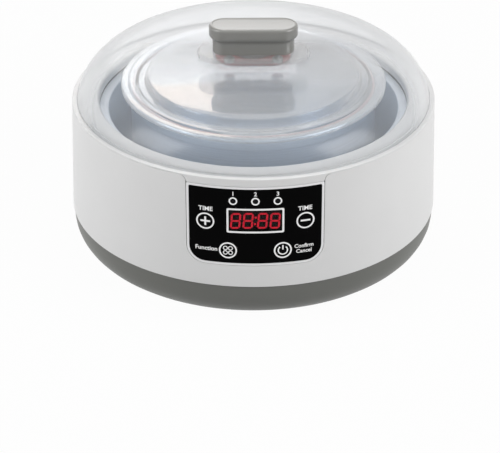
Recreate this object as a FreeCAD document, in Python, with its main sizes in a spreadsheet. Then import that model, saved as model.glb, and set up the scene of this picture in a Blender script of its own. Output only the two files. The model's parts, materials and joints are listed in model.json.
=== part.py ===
import FreeCAD, Part
import math
import os
import Sketcher

# Yogurt maker: a warm round housing with a control panel, a steel pot with an inner lid, and a dome lid.
# Millimetres and degrees. +Z is up, the panel faces -Y, and the origin is on the table under the middle.

SIZES = {
    # Clearances
    "seam_gap": 0.25,
    "fit_gap": 0.2,
    "rest_gap": 0.3,
    "screw_gap": 0.1,
    # Feet
    "foot_height": 2.0,
    "foot_radius": 7.0,
    "foot_stem_radius": 3.0,
    "foot_stem_height": 3.0,
    "foot_inset": 27.5,
    # Base tray
    "base_inset": 0.5,
    "base_taper": 1.2,
    "base_height": 22.0,
    "base_corner": 17.0,
    "base_wall": 2.2,
    "base_lip_height": 3.0,
    "base_lip_wall": 1.8,
    "base_lip_root": 2.0,
    "base_boss_radius": 5.0,
    "base_boss_height": 3.8,
    "shield_post_radius": 3.0,
    "shield_post_pitch": 34.0,
    "slot_offset": 40.0,
    "slot_length": 18.0,
    "slot_width": 2.4,
    "slot_spacing": 8.0,
    # Base screws and the pillars that they pull on
    "pillar_inset": 18.5,
    "pillar_radius": 4.0,
    "base_screw_radius": 1.5,
    "base_screw_grip": 6.0,
    "base_head_radius": 3.0,
    "base_head_height": 1.8,
    "base_sink": 3.2,
    # Housing shell
    "housing_radius": 100.0,
    "housing_taper": 1.8,
    "housing_height": 61.5,
    "housing_wall": 2.2,
    # Top bezel
    "bezel_rise": 0.6,
    "bezel_edge_round": 0.5,
    "bezel_width": 14.7,
    "bezel_lip_round": 1.5,
    "bezel_depth": 4.7,
    "bezel_wall": 2.0,
    "bezel_plate": 2.4,
    "bezel_skirt_depth": 4.0,
    "bezel_skirt_wall": 1.8,
    "lid_rebate_depth": 0.9,
    # Heating well
    "under_well_space": 13.0,
    "well_lip": 5.0,
    "well_wall": 0.8,
    "well_corner": 6.0,
    "well_flange_width": 12.5,
    "gasket_thickness": 1.1,
    "well_screw_angle": 22.5,
    "well_screw_radius": 1.25,
    "well_screw_grip": 3.0,
    "well_head_radius": 2.6,
    "well_head_height": 1.6,
    "well_boss_radius": 3.0,
    # Heater stack under the well
    "heater_inset": 28.5,
    "heater_opening": 14.0,
    "heater_thickness": 2.0,
    "clamp_margin": 3.0,
    "clamp_thickness": 1.2,
    "stud_inset": 10.0,
    "stud_radius": 1.5,
    "nut_width": 5.5,
    "nut_height": 2.4,
    "sensor_radius": 5.0,
    "sensor_flange_radius": 7.0,
    "sensor_flange_height": 1.0,
    "fuse_radius": 1.8,
    "fuse_length": 12.0,
    "fuse_offset": 27.0,
    "fuse_clip_wall": 0.8,
    "fuse_clip_width": 6.0,
    "fuse_clip_foot": 3.5,
    "shield_margin": 1.0,
    "shield_thickness": 0.8,
    "shield_rim": 2.0,
    "shield_opening": 9.0,
    "shield_height": 3.6,
    # Inner pot
    "pot_space": 11.9,
    "pot_taper": 1.0,
    "pot_stand": 7.2,
    "pot_wall": 0.8,
    "pot_corner": 19.0,
    "pot_rim_width": 2.9,
    "pot_rim_height": 1.8,
    "pot_rim_round": 0.6,
    # Inner lid
    "inner_lid_overhang": 2.0,
    "inner_lid_wall": 1.6,
    "inner_lid_round": 0.9,
    "inner_skirt_drop": 0.8,
    "bead_inset": 6.5,
    "bead_width": 3.2,
    "bead_slope": 1.4,
    "bead_height": 1.0,
    "groove_inset": 11.1,
    "groove_width": 3.2,
    "groove_depth": 0.2,
    "plateau_inset": 14.3,
    "plateau_slope": 1.6,
    "plateau_rise": 4.5,
    "plateau_crown": 1.4,
    "plug_wall": 1.6,
    "plug_depth": 6.0,
    "plug_lip": 0.9,
    "seal_thickness": 0.65,
    "seal_fin": 0.5,
    # Vent of the inner lid
    "vent_offset": 22.0,
    "vent_width": 41.0,
    "vent_depth": 34.0,
    "vent_corner": 12.0,
    "vent_pad_margin": 0.6,
    "vent_pad_rise": 0.2,
    "vent_seat_thickness": 1.2,
    "vent_knob_radius": 5.2,
    "vent_knob_height": 1.2,
    "vent_stem_radius": 4.0,
    "vent_barb_radius": 5.0,
    "vent_barb_height": 1.6,
    "vent_ring_radius": 13.0,
    "vent_ring_height": 1.4,
    "vent_ring_round": 0.6,
    # Outer lid, plinth and handle
    "lid_inset": 3.0,
    "lid_height": 24.1,
    "lid_draft": 3.2,
    "lid_crown": 2.2,
    "lid_shoulder": 26.0,
    "lid_wall": 2.0,
    "plinth_width": 60.0,
    "plinth_depth": 23.5,
    "plinth_rise": 2.5,
    "plinth_round": 0.8,
    "handle_width": 47.7,
    "handle_depth": 18.0,
    "handle_height": 15.3,
    "handle_grip_height": 6.6,
    "handle_undercut": 1.9,
    "handle_top_round": 1.2,
    "handle_screw_spacing": 26.0,
    "handle_screw_radius": 1.5,
    "handle_screw_grip": 8.0,
    "handle_head_radius": 3.0,
    "handle_head_height": 1.8,
    # Control panel
    "panel_half_width": 33.9,
    "panel_height": 42.5,
    "panel_drop": 3.6,
    "panel_corner": 8.0,
    "panel_top_corner": 0.8,
    "panel_thickness": 2.2,
    "panel_ledge": 1.2,
    "panel_ledge_thickness": 1.0,
    "panel_reach": 1.5,
    "frame_width": 1.3,
    "notch_flare": 3.2,
    # Display and indicators
    "display_width": 29.7,
    "display_height": 14.3,
    "display_corner": 1.0,
    "display_drop": 17.85,
    "display_gap": 0.1,
    "module_inset": 0.6,
    "module_depth": 7.6,
    "indicator_drop": 6.65,
    "indicator_spacing": 11.4,
    "indicator_radius": 1.2,
    "led_radius": 1.5,
    "led_height": 3.0,
    # Keys and switches
    "key_radius": 4.7,
    "key_gap": 0.15,
    "key_flange_radius": 5.7,
    "key_flange_height": 1.0,
    "side_key_spacing": 25.6,
    "side_key_drop": 19.25,
    "low_key_spacing": 14.1,
    "low_key_drop": 35.25,
    "plunger_radius": 1.6,
    "plunger_float": 0.9,
    "switch_width": 6.2,
    "switch_height": 2.0,
    "switch_floor": 0.4,
    # Control board
    "board_thickness": 1.6,
    "control_board_width": 77.2,
    "control_board_height": 39.0,
    "control_board_setback": 13.4,
    "chip_width": 10.0,
    "chip_height": 8.0,
    "chip_depth": 1.8,
    "chip_drop": 14.0,
    "buzzer_radius": 5.0,
    "buzzer_depth": 3.6,
    "buzzer_offset": 26.0,
    "buzzer_drop": 22.0,
    # Power board
    "power_board_width": 60.0,
    "power_board_gap": 4.9,
    "power_board_setback": 14.2,
    "transformer_width": 20.0,
    "transformer_height": 18.0,
    "transformer_depth": 8.6,
    "transformer_offset": 11.0,
    "relay_width": 14.0,
    "relay_height": 10.0,
    "relay_depth": 8.0,
    "relay_offset": 12.0,
    "relay_rise": 3.0,
    "capacitor_radius": 3.8,
    "capacitor_gap": 4.0,
    "capacitor_offset": 12.0,
    "rail_width": 3.2,
    "rail_lap": 1.3,
    "rail_foot": 2.0,
    "rail_lip": 1.5,
    # Mains inlet
    "inlet_rise": 11.75,
    "inlet_width": 23.4,
    "inlet_height": 12.4,
    "inlet_corner": 5.0,
    "inlet_depth": 14.8,
    "inlet_flange": 1.8,
    "inlet_flange_depth": 1.4,
    "inlet_socket_width": 15.6,
    "inlet_socket_height": 7.6,
    "inlet_socket_round": 3.7,
    "inlet_socket_depth": 11.0,
    "inlet_inset": 0.5,
    "pin_radius": 1.2,
    "pin_spacing": 8.6,
    "pin_inset": 2.0,
    "pin_tail": 2.4,
    "lead_radius": 1.1,
    "heater_lead_spacing": 34.0,
    "heater_lead_bend": 6.0,
    "heater_lead_inset": 7.0,
}

document = FreeCAD.newDocument("yogurt_maker")
sheet = document.addObject("Spreadsheet::Sheet", "Sizes")
for row, (alias, number) in enumerate(SIZES.items(), start=1):
    sheet.set(f"A{row}", alias)
    sheet.set(f"B{row}", str(number))
    sheet.setAlias(f"B{row}", alias)
document.recompute()


class Dim:
    """A size that keeps its value and the sheet formula it comes from."""

    def __init__(self, value, formula):
        self.value = value
        self.formula = formula

    def __add__(self, other):
        other = as_dim(other)
        return Dim(self.value + other.value, f"({self.formula} + {other.formula})")

    def __sub__(self, other):
        other = as_dim(other)
        return Dim(self.value - other.value, f"({self.formula} - {other.formula})")

    def __mul__(self, other):
        other = as_dim(other)
        return Dim(self.value * other.value, f"({self.formula} * {other.formula})")

    def __truediv__(self, other):
        other = as_dim(other)
        return Dim(self.value / other.value, f"({self.formula} / {other.formula})")

    def __neg__(self):
        return Dim(-self.value, f"(0 - {self.formula})")


def as_dim(item):
    """Take a plain number as a size."""
    return item if isinstance(item, Dim) else Dim(float(item), str(item))


def root(item):
    return Dim(math.sqrt(item.value), f"sqrt({item.formula})")


def cosine(angle):
    return Dim(math.cos(math.radians(angle.value)), f"cos({angle.formula} * 1 deg)")


def sine(angle):
    return Dim(math.sin(math.radians(angle.value)), f"sin({angle.formula} * 1 deg)")


def half(item):
    return item / 2


class SheetSizes:
    """Each attribute is the sheet cell of that name."""

    def __getattr__(self, name):
        return Dim(float(sheet.get(name)), f"Sizes.{name}")


size = SheetSizes()
ZERO = as_dim(0)
FULL_TURN = as_dim(360)
SEGMENT_ANGLE = as_dim(80)
SIGNS = (-1, 1)
QUARTERS = tuple(as_dim(angle) for angle in (0, 90, 180, 270))
DIAGONALS = tuple(as_dim(angle) for angle in (45, 135, 225, 315))
THIRDS = tuple(as_dim(angle) for angle in (90, 210, 330))


def on_circle(radius, angle):
    """The X and Y of a point at an angle on a circle about the middle."""
    return radius * cosine(angle), radius * sine(angle)


# Sketches and features

def new_body(label):
    body = document.addObject("PartDesign::Body", label)
    body.Label = label
    body.AllowCompound = True
    return body


def new_sketch(body, role, offset=ZERO):
    """An empty sketch on an origin plane of the body, moved along the plane's normal."""
    plane = next(item for item in body.Origin.OriginFeatures if item.Role == role)
    sketch = body.newObject("Sketcher::SketchObject", f"{body.Name}_sketch")
    sketch.AttachmentSupport = [(plane, "")]
    sketch.MapMode = "FlatFace"
    if offset is not ZERO:
        sketch.AttachmentOffset = FreeCAD.Placement(FreeCAD.Vector(0, 0, offset.value), FreeCAD.Rotation())
        sketch.setExpression("AttachmentOffset.Base.z", offset.formula)
    return sketch


def hold(sketch, kind, axis, geometry, point, place):
    """Tie one coordinate of a sketch point to a size."""
    if place is ZERO:
        sketch.addConstraint(Sketcher.Constraint("PointOnObject", geometry, point, axis))
        return
    ends = (-1, 1, geometry, point)
    if place.value < 0:
        ends = (geometry, point, -1, 1)
        place = -place
    index = sketch.addConstraint(Sketcher.Constraint(kind, *ends, place.value))
    sketch.setExpression(f"Constraints[{index}]", place.formula)


def hold_point(sketch, geometry, point, across, up):
    hold(sketch, "DistanceX", -2, geometry, point, across)
    hold(sketch, "DistanceY", -1, geometry, point, up)


def hold_radius(sketch, geometry, radius):
    index = sketch.addConstraint(Sketcher.Constraint("Radius", geometry, radius.value))
    sketch.setExpression(f"Constraints[{index}]", radius.formula)


def outline(sketch, corners):
    """A closed outline. A corner is (across, up), or (across, up, rounding)."""
    first = sketch.GeometryCount
    count = len(corners)
    points = [FreeCAD.Vector(corner[0].value, corner[1].value, 0) for corner in corners]
    for index in range(count):
        sketch.addGeometry(Part.LineSegment(points[index], points[(index + 1) % count]), False)
    for index in range(count):
        follower = first + (index + 1) % count
        sketch.addConstraint(Sketcher.Constraint("Coincident", first + index, 2, follower, 1))
    for index, corner in enumerate(corners):
        hold_point(sketch, first + index, 1, corner[0], corner[1])
    for index, corner in enumerate(corners):
        if len(corner) == 3:
            sketch.fillet(first + index, 1, corner[2].value, True, True)
            hold_radius(sketch, sketch.GeometryCount - 2, corner[2])


def rectangle(sketch, left, right, low, high, rounding=None):
    corners = [(left, low), (right, low), (right, high), (left, high)]
    if rounding is not None:
        corners = [corner + (rounding,) for corner in corners]
    outline(sketch, corners)


def circle(sketch, across, up, radius):
    centre = FreeCAD.Vector(across.value, up.value, 0)
    geometry = sketch.addGeometry(Part.Circle(centre, FreeCAD.Vector(0, 0, 1), radius.value), False)
    hold_point(sketch, geometry, 3, across, up)
    hold_radius(sketch, geometry, radius)


def add_feature(body, kind, sketch):
    before = body.Shape.Volume if body.Tip else 0
    feature = body.newObject(f"PartDesign::{kind}", f"{body.Name}_{kind.lower()}")
    feature.Profile = sketch
    return feature, before


def settle(body, feature, before, grows):
    """Recompute a feature and make sure that it added or took away material."""
    document.recompute()
    after = body.Shape.Volume
    if not feature.isValid() or (after <= before if grows else after >= before):
        raise RuntimeError(f"{body.Label}: {feature.Name} did not take")
    return feature


def turn(body, sketch, angle=FULL_TURN, kind="Revolution"):
    """Turn a profile about the vertical axis, half of the angle to each side."""
    feature, before = add_feature(body, kind, sketch)
    feature.ReferenceAxis = (sketch, ["V_Axis"])
    feature.Midplane = True
    feature.Angle = angle.value
    return settle(body, feature, before, kind == "Revolution")


def lathe(body, corners):
    sketch = new_sketch(body, "XZ_Plane")
    outline(sketch, corners)
    return turn(body, sketch)


def pad(body, sketch, length, backwards=False):
    feature, before = add_feature(body, "Pad", sketch)
    feature.Length = length.value
    feature.setExpression("Length", length.formula)
    feature.Reversed = backwards
    return settle(body, feature, before, True)


def pocket(body, sketch, depth=None, backwards=False):
    """Cut a sketch to a depth, or right through on one side of its plane."""
    feature, before = add_feature(body, "Pocket", sketch)
    feature.Reversed = backwards
    if depth is None:
        feature.Type = "ThroughAll"
    else:
        feature.Length = depth.value
        feature.setExpression("Length", depth.formula)
    return settle(body, feature, before, False)


def round_edges(body, level, radius):
    """Round all edges of the body that lie at one level."""
    base = body.Tip
    names = []
    for index, edge in enumerate(base.Shape.Edges, start=1):
        box = edge.BoundBox
        if abs(box.ZMin - level.value) < 1e-4 and abs(box.ZMax - level.value) < 1e-4:
            names.append(f"Edge{index}")
    feature = body.newObject("PartDesign::Fillet", f"{body.Name}_fillet")
    feature.Base = (base, names)
    feature.Radius = radius.value
    feature.setExpression("Radius", radius.formula)
    document.recompute()
    if not feature.isValid():
        raise RuntimeError(f"{body.Label}: rounding at {level.value} failed")
    return feature


def column(body, places, radius, low, high):
    """Round posts that stand on the same level."""
    sketch = new_sketch(body, "XY_Plane", low)
    for across, deep in places:
        circle(sketch, across, deep, radius)
    return pad(body, sketch, high - low)


def drill(body, places, radius, low, high):
    """Round holes from one level up to another."""
    sketch = new_sketch(body, "XY_Plane", low)
    for across, deep in places:
        circle(sketch, across, deep, radius)
    return pocket(body, sketch, high - low, backwards=True)


def screws(label, places, radius, tip, head_radius, head_low, head_high):
    """Pan-head screws with their shanks upwards."""
    body = new_body(label)
    column(body, places, head_radius, head_low, head_high)
    column(body, places, radius, head_high, tip)
    return body


# Radii, from the housing wall inwards
housing_top_radius = size.housing_radius - size.housing_taper
base_radius = size.housing_radius - size.base_inset
foot_pitch = base_radius - size.foot_inset
bezel_opening = housing_top_radius - size.bezel_width
lid_radius = housing_top_radius - size.lid_inset
well_radius = bezel_opening - size.well_lip
pillar_pitch = well_radius - size.pillar_inset
heater_radius = well_radius - size.heater_inset
stud_pitch = heater_radius - size.stud_inset
clamp_radius = heater_radius + size.clamp_margin
shield_radius = clamp_radius + size.shield_margin
heater_lead_reach = clamp_radius - size.heater_lead_inset
pot_radius = well_radius - size.pot_space
pot_rim_radius = pot_radius + size.pot_rim_width
inner_lid_radius = pot_rim_radius + size.inner_lid_overhang
bead_radius = inner_lid_radius - size.bead_inset
groove_radius = inner_lid_radius - size.groove_inset
plateau_radius = inner_lid_radius - size.plateau_inset

# Levels, from the table upwards
tray_low = size.foot_height
tray_floor = tray_low + size.base_wall
low_seam = tray_low + size.base_height
housing_low = low_seam + size.seam_gap
housing_high = housing_low + size.housing_height
high_seam = housing_high + size.seam_gap
bezel_top = high_seam + size.bezel_rise
bezel_under = bezel_top - size.bezel_plate
bezel_foot = bezel_top - size.bezel_depth
flange_high = bezel_foot - size.gasket_thickness
flange_low = flange_high - size.well_wall
well_low = tray_floor + size.under_well_space
well_floor = well_low + size.well_wall
heater_low = well_low - size.heater_thickness
clamp_low = heater_low - size.clamp_thickness
pot_low = well_floor + size.rest_gap
pot_high = bezel_top + size.pot_stand
lid_seat = pot_high + size.fit_gap
inner_flange_top = lid_seat + size.inner_lid_wall
groove_floor = inner_flange_top - size.groove_depth
plateau_edge = inner_flange_top + size.plateau_rise
plateau_top = plateau_edge + size.plateau_crown
inlet_level = housing_low + size.inlet_rise
lid_low = bezel_top - size.lid_rebate_depth + size.fit_gap
lid_top = lid_low + size.lid_height
plinth_top = lid_top + size.plinth_rise
frame_top = housing_high - size.panel_drop
panel_top = frame_top - size.frame_width
panel_low = panel_top - size.panel_height
frame_low = panel_low - size.frame_width
notch_low = frame_low - size.seam_gap
notch_half = size.panel_half_width + size.frame_width + size.seam_gap


def wall_radius(level, inset=ZERO):
    """The radius of the housing wall at a level, less an inset."""
    slope = (size.housing_radius - housing_top_radius) / size.housing_height
    return size.housing_radius - slope * (level - housing_low) - inset


# Base tray and what stands on it or holds it

shield_low = tray_floor + size.shield_height
pillar_low = tray_floor + size.base_boss_height
pillar_places = [on_circle(pillar_pitch, angle) for angle in QUARTERS]
foot_places = [on_circle(foot_pitch, angle) for angle in DIAGONALS]
stud_places = [on_circle(stud_pitch, angle) for angle in THIRDS]


def make_base_tray():
    lip_top = low_seam + size.base_lip_height
    lip_out = wall_radius(lip_top, size.housing_wall + size.fit_gap)
    lip_in = lip_out - size.base_lip_wall
    lip_root = low_seam - size.base_lip_root
    corner = base_radius - size.base_taper
    wall_in = base_radius - size.base_wall
    body = new_body("base_tray")
    lathe(body, [
        (ZERO, tray_low),
        (corner, tray_low, size.base_corner),
        (base_radius, low_seam),
        (lip_out, low_seam),
        (lip_out, lip_top),
        (lip_in, lip_top),
        (lip_in, lip_root),
        (wall_in, lip_root),
        (corner - size.base_wall, tray_floor, size.base_corner - size.base_wall),
        (ZERO, tray_floor),
    ])
    post_places = [on_circle(size.shield_post_pitch, angle) for angle in DIAGONALS]
    column(body, pillar_places, size.base_boss_radius, tray_low, pillar_low)
    column(body, post_places, size.shield_post_radius, tray_low, shield_low)
    drill(body, pillar_places, size.base_screw_radius + size.fit_gap, tray_low, pillar_low)
    sink_top = tray_low + size.base_sink
    drill(body, pillar_places, size.base_head_radius + size.fit_gap, tray_low, sink_top)
    drill(body, foot_places, size.foot_stem_radius + size.screw_gap, tray_low, tray_floor)
    slots = new_sketch(body, "XY_Plane", tray_low)
    near = size.slot_offset - half(size.slot_length)
    far = size.slot_offset + half(size.slot_length)
    tall = half(size.slot_width)
    for side in SIGNS:
        for middle in (-size.slot_spacing, ZERO, size.slot_spacing):
            rectangle(slots, near * side, far * side, middle - tall, middle + tall)
    pocket(body, slots, size.base_wall, backwards=True)
    return body


def make_feet():
    body = new_body("feet")
    column(body, foot_places, size.foot_radius, ZERO, tray_low)
    round_edges(body, ZERO, size.foot_height / 4)
    column(body, foot_places, size.foot_stem_radius, tray_low, tray_low + size.foot_stem_height)
    return body


def make_pillars():
    body = new_body("well_pillars")
    column(body, pillar_places, size.pillar_radius, pillar_low, well_low)
    hole_top = pillar_low + size.base_screw_grip + size.rest_gap
    drill(body, pillar_places, size.base_screw_radius + size.screw_gap, pillar_low, hole_top)
    return body


def make_base_screws():
    head_high = tray_low + size.base_sink
    head_low = head_high - size.base_head_height
    tip = pillar_low + size.base_screw_grip
    return screws("base_screws", pillar_places, size.base_screw_radius, tip, size.base_head_radius,
                  head_low, head_high)


# Housing shell, bezel and panel

def rail_corners(side, front, width, setback):
    """The plan of a guide rail that holds a board's edge, lapped into the housing wall."""
    middle = housing_low + half(size.housing_height)
    edge = half(width) - size.rail_lap
    back = edge + size.rail_width
    wall = wall_radius(middle, half(size.housing_wall))
    face = wall_radius(middle) - setback - size.board_thickness - size.fit_gap - size.rail_lip
    corners = [(edge, face), (back, face)]
    corners += [(back, root(wall * wall - back * back)), (edge, root(wall * wall - edge * edge))]
    return [(across * side, deep * front) for across, deep in corners]


def slot_corners(side, front, width, setback):
    """The plan of the slot in a guide rail."""
    middle = housing_low + half(size.housing_height)
    near = wall_radius(middle) - setback - size.board_thickness - half(size.fit_gap)
    far = wall_radius(middle) - setback + half(size.fit_gap)
    edge = half(width) - size.rail_lap - size.fit_gap
    back = half(width) + half(size.fit_gap)
    corners = [(edge, near), (back, near), (back, far), (edge, far)]
    return [(across * side, deep * front) for across, deep in corners]


control_board_high = flange_low - size.rest_gap * 3
control_board_low = control_board_high - size.control_board_height
power_board_high = control_board_high
power_board_low = inlet_level + half(size.inlet_height) + size.power_board_gap
power_board_height = power_board_high - power_board_low
wall_middle = wall_radius(housing_low + half(size.housing_height))
control_board_face = -(wall_middle - size.control_board_setback)
control_board_back = control_board_face + size.board_thickness
power_board_face = wall_middle - size.power_board_setback


def add_rails(body, front, low, high, width, setback):
    """Two guide rails on the housing wall, with slots that stop above their feet."""
    sketch = new_sketch(body, "XY_Plane", low - size.rail_foot)
    for side in SIGNS:
        outline(sketch, rail_corners(side, front, width, setback))
    pad(body, sketch, high - low + size.rail_foot)
    sketch = new_sketch(body, "XY_Plane", low)
    for side in SIGNS:
        outline(sketch, slot_corners(side, front, width, setback))
    pocket(body, sketch, high - low + size.rail_foot, backwards=True)


def make_housing_shell():
    body = new_body("housing_shell")
    lathe(body, [
        (size.housing_radius, housing_low),
        (housing_top_radius, housing_high),
        (housing_top_radius - size.housing_wall, housing_high),
        (size.housing_radius - size.housing_wall, housing_low),
    ])
    add_rails(body, -1, control_board_low, control_board_high, size.control_board_width,
              size.control_board_setback)
    add_rails(body, 1, power_board_low, power_board_high, size.power_board_width, size.power_board_setback)
    outer = notch_half + size.notch_flare * 2
    above = housing_high + size.notch_flare
    rounding = size.panel_corner + size.frame_width + size.seam_gap
    notch = new_sketch(body, "XZ_Plane")
    outline(notch, [
        (-outer, above),
        (-outer, housing_high),
        (-notch_half, housing_high, size.notch_flare),
        (-notch_half, notch_low, rounding),
        (notch_half, notch_low, rounding),
        (notch_half, housing_high, size.notch_flare),
        (outer, housing_high),
        (outer, above),
    ])
    pocket(body, notch, backwards=True)
    opening = new_sketch(body, "XZ_Plane")
    inlet_outline(opening, size.fit_gap)
    pocket(body, opening)
    return body


def make_top_bezel():
    wall_out = bezel_opening + size.bezel_wall
    skirt_out = wall_radius(housing_high, size.housing_wall + size.fit_gap)
    skirt_in = skirt_out - size.bezel_skirt_wall
    skirt_low = housing_high - size.bezel_skirt_depth
    rebate_floor = bezel_top - size.lid_rebate_depth
    rebate_in = lid_radius - size.lid_wall - size.fit_gap * 2
    rebate_out = lid_radius + size.fit_gap * 2
    ring = new_body("bezel_ring")
    lathe(ring, [
        (bezel_opening, bezel_foot),
        (bezel_opening, bezel_top, size.bezel_lip_round),
        (rebate_in, bezel_top),
        (rebate_in, rebate_floor),
        (rebate_out, rebate_floor),
        (rebate_out, bezel_top),
        (housing_top_radius, bezel_top, size.bezel_edge_round),
        (housing_top_radius, high_seam),
        (skirt_out, high_seam),
        (skirt_out, skirt_low),
        (skirt_in, skirt_low),
        (skirt_in, bezel_under),
        (wall_out, bezel_under),
        (wall_out, bezel_foot),
    ])
    gap = new_sketch(ring, "YZ_Plane")
    rectangle(gap, -skirt_out - size.fit_gap, -skirt_in + size.fit_gap, skirt_low - size.fit_gap, bezel_under)
    turn(ring, gap, SEGMENT_ANGLE, "Groove")
    column(ring, well_screw_places, size.well_boss_radius, flange_high, bezel_under)
    hole_top = flange_high + size.well_screw_grip + size.rest_gap
    drill(ring, well_screw_places, size.well_screw_radius + size.screw_gap, flange_high, hole_top)

    tab = panel_segment("bezel_tab", size.housing_wall, ZERO, frame_top, bezel_top)
    lapped = high_seam + half(size.bezel_rise)
    tab_half = notch_half - size.seam_gap
    tab_low = frame_top + size.seam_gap
    outer = notch_half + size.notch_flare * 2
    flare = size.notch_flare + size.seam_gap
    trim(tab, [
        (-tab_half, tab_low),
        (tab_half, tab_low),
        (tab_half, high_seam, flare),
        (outer, high_seam),
        (outer, lapped),
        (-outer, lapped),
        (-outer, high_seam),
        (-tab_half, high_seam, flare),
    ])
    return fuse("top_bezel", ring, tab)


def fuse(label, first, second):
    joined = document.addObject("Part::Fuse", label)
    joined.Label = label
    joined.Base = first
    joined.Tool = second
    document.recompute()
    return joined


def panel_segment(label, depth_in, depth_out, low, high):
    """A stretch of the housing's front wall between two depths, wider than the panel."""
    body = new_body(label)
    sketch = new_sketch(body, "YZ_Plane")
    outline(sketch, [
        (-wall_radius(low, depth_in), low),
        (-wall_radius(low, depth_out), low),
        (-wall_radius(high, depth_out), high),
        (-wall_radius(high, depth_in), high),
    ])
    turn(body, sketch, SEGMENT_ANGLE)
    return body


def trim(body, corners):
    """Cut away what lies outside an outline seen from the front."""
    reach = size.housing_radius
    sketch = new_sketch(body, "XZ_Plane")
    rectangle(sketch, -reach, reach, -reach, reach * 2)
    outline(sketch, corners)
    return pocket(body, sketch, backwards=True)


def pierce(body, corners):
    """Cut an outline seen from the front right through."""
    sketch = new_sketch(body, "XZ_Plane")
    outline(sketch, corners)
    return pocket(body, sketch, backwards=True)


def panel_corners(grow):
    """The panel's outline, grown evenly by a margin."""
    side = size.panel_half_width + grow
    low = panel_low - grow
    high = panel_top + grow
    lower = size.panel_corner + grow
    upper = size.panel_top_corner
    return [(-side, low, lower), (side, low, lower), (side, high, upper), (-side, high, upper)]


display_level = panel_top - size.display_drop
indicator_level = panel_top - size.indicator_drop
indicator_places = [-size.indicator_spacing, ZERO, size.indicator_spacing]
side_key_level = panel_top - size.side_key_drop
low_key_level = panel_top - size.low_key_drop
KEYS = {
    "plus": (-size.side_key_spacing, side_key_level),
    "minus": (size.side_key_spacing, side_key_level),
    "function": (-size.low_key_spacing, low_key_level),
    "power": (size.low_key_spacing, low_key_level),
}


def display_corners(shrink):
    side = half(size.display_width) - shrink
    tall = half(size.display_height) - shrink
    low = display_level - tall
    high = display_level + tall
    rounding = size.display_corner
    return [(-side, low, rounding), (side, low, rounding), (side, high, rounding), (-side, high, rounding)]


def make_panel_overlay():
    plate = panel_segment("overlay_plate", size.panel_thickness, ZERO, notch_low, housing_high)
    trim(plate, panel_corners(ZERO))
    pierce(plate, display_corners(ZERO))
    holes = new_sketch(plate, "XZ_Plane")
    for across, level in KEYS.values():
        circle(holes, across, level, size.key_radius + size.key_gap)
    for across in indicator_places:
        circle(holes, across, indicator_level, size.indicator_radius + size.display_gap)
    pocket(plate, holes, backwards=True)
    behind = size.panel_thickness + size.panel_ledge_thickness
    low = notch_low - size.panel_reach * 2
    ledge = panel_segment("overlay_ledge", behind, size.panel_thickness, low, high_seam)
    trim(ledge, panel_corners(size.frame_width + size.panel_reach))
    pierce(ledge, panel_corners(-size.panel_ledge))
    return fuse("panel_overlay", plate, ledge)


def make_panel_frame():
    depth = size.panel_thickness - half(size.fit_gap)
    body = panel_segment("panel_frame", depth, ZERO, notch_low, housing_high)
    trim(body, panel_corners(size.frame_width))
    pierce(body, panel_corners(size.display_gap))
    return body


def make_display_window():
    body = panel_segment("display_window", size.panel_thickness, ZERO, notch_low, housing_high)
    trim(body, display_corners(size.display_gap))
    return body


def flush_cut(body):
    """Trim a piece to the curved face of the panel."""
    sketch = new_sketch(body, "YZ_Plane")
    low = frame_low
    high = frame_top
    beyond = size.housing_radius + size.control_board_setback
    outline(sketch, [
        (-wall_radius(low), low),
        (-wall_radius(high), high),
        (-beyond, high),
        (-beyond, low),
    ])
    return turn(body, sketch, SEGMENT_ANGLE, "Groove")


def rod(body, places, radius, near, far):
    """Round rods along Y between two depths, seen from the front at (across, level)."""
    sketch = new_sketch(body, "XZ_Plane", -far)
    for across, level in places:
        circle(sketch, across, level, radius)
    return pad(body, sketch, far - near)


def key_flange_front(across, level):
    """The depth at which a key's flat flange just clears the back of the curved panel."""
    reach = size.key_flange_radius
    edge = wall_radius(level + reach, size.panel_thickness)
    aside = (across if across.value > 0 else -across) + reach
    return -root(edge * edge - aside * aside) + size.rest_gap


def make_key(name, across, level):
    place = [(across, level)]
    front = key_flange_front(across, level)
    back = front + size.key_flange_height
    body = new_body(f"key_{name}")
    rod(body, place, size.key_flange_radius, front, back)
    rod(body, place, size.key_radius, -size.housing_radius, front)
    flush_cut(body)
    plunger = new_body(f"plunger_{name}")
    tip = control_board_face - size.switch_floor - size.plunger_float
    rod(plunger, place, size.plunger_radius, back, tip)
    return [body, plunger]


def make_switches():
    body = new_body("tact_switches")
    top = control_board_face - size.switch_height
    sketch = new_sketch(body, "XZ_Plane", -control_board_face)
    reach = half(size.switch_width)
    for across, level in KEYS.values():
        rectangle(sketch, across - reach, across + reach, level - reach, level + reach)
    pad(body, sketch, size.switch_height)
    bores = new_sketch(body, "XZ_Plane", -top)
    for across, level in KEYS.values():
        circle(bores, across, level, size.plunger_radius + size.fit_gap)
    pocket(body, bores, size.switch_height - size.switch_floor)
    return body


def make_indicators():
    places = [(across, indicator_level) for across in indicator_places]
    leds = new_body("indicator_leds")
    led_top = control_board_face - size.led_height
    rod(leds, places, size.led_radius, led_top, control_board_face)
    lenses = new_body("indicator_lenses")
    rod(lenses, places, size.indicator_radius, -size.housing_radius, led_top - size.fit_gap)
    flush_cut(lenses)
    return [leds, lenses]


def front_block(body, across, level, width, height, face, depth):
    """A block that stands on an upright face and reaches towards -Y."""
    sketch = new_sketch(body, "XZ_Plane", -face)
    wide = half(width)
    tall = half(height)
    rectangle(sketch, across - wide, across + wide, level - tall, level + tall)
    return pad(body, sketch, depth)


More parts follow.
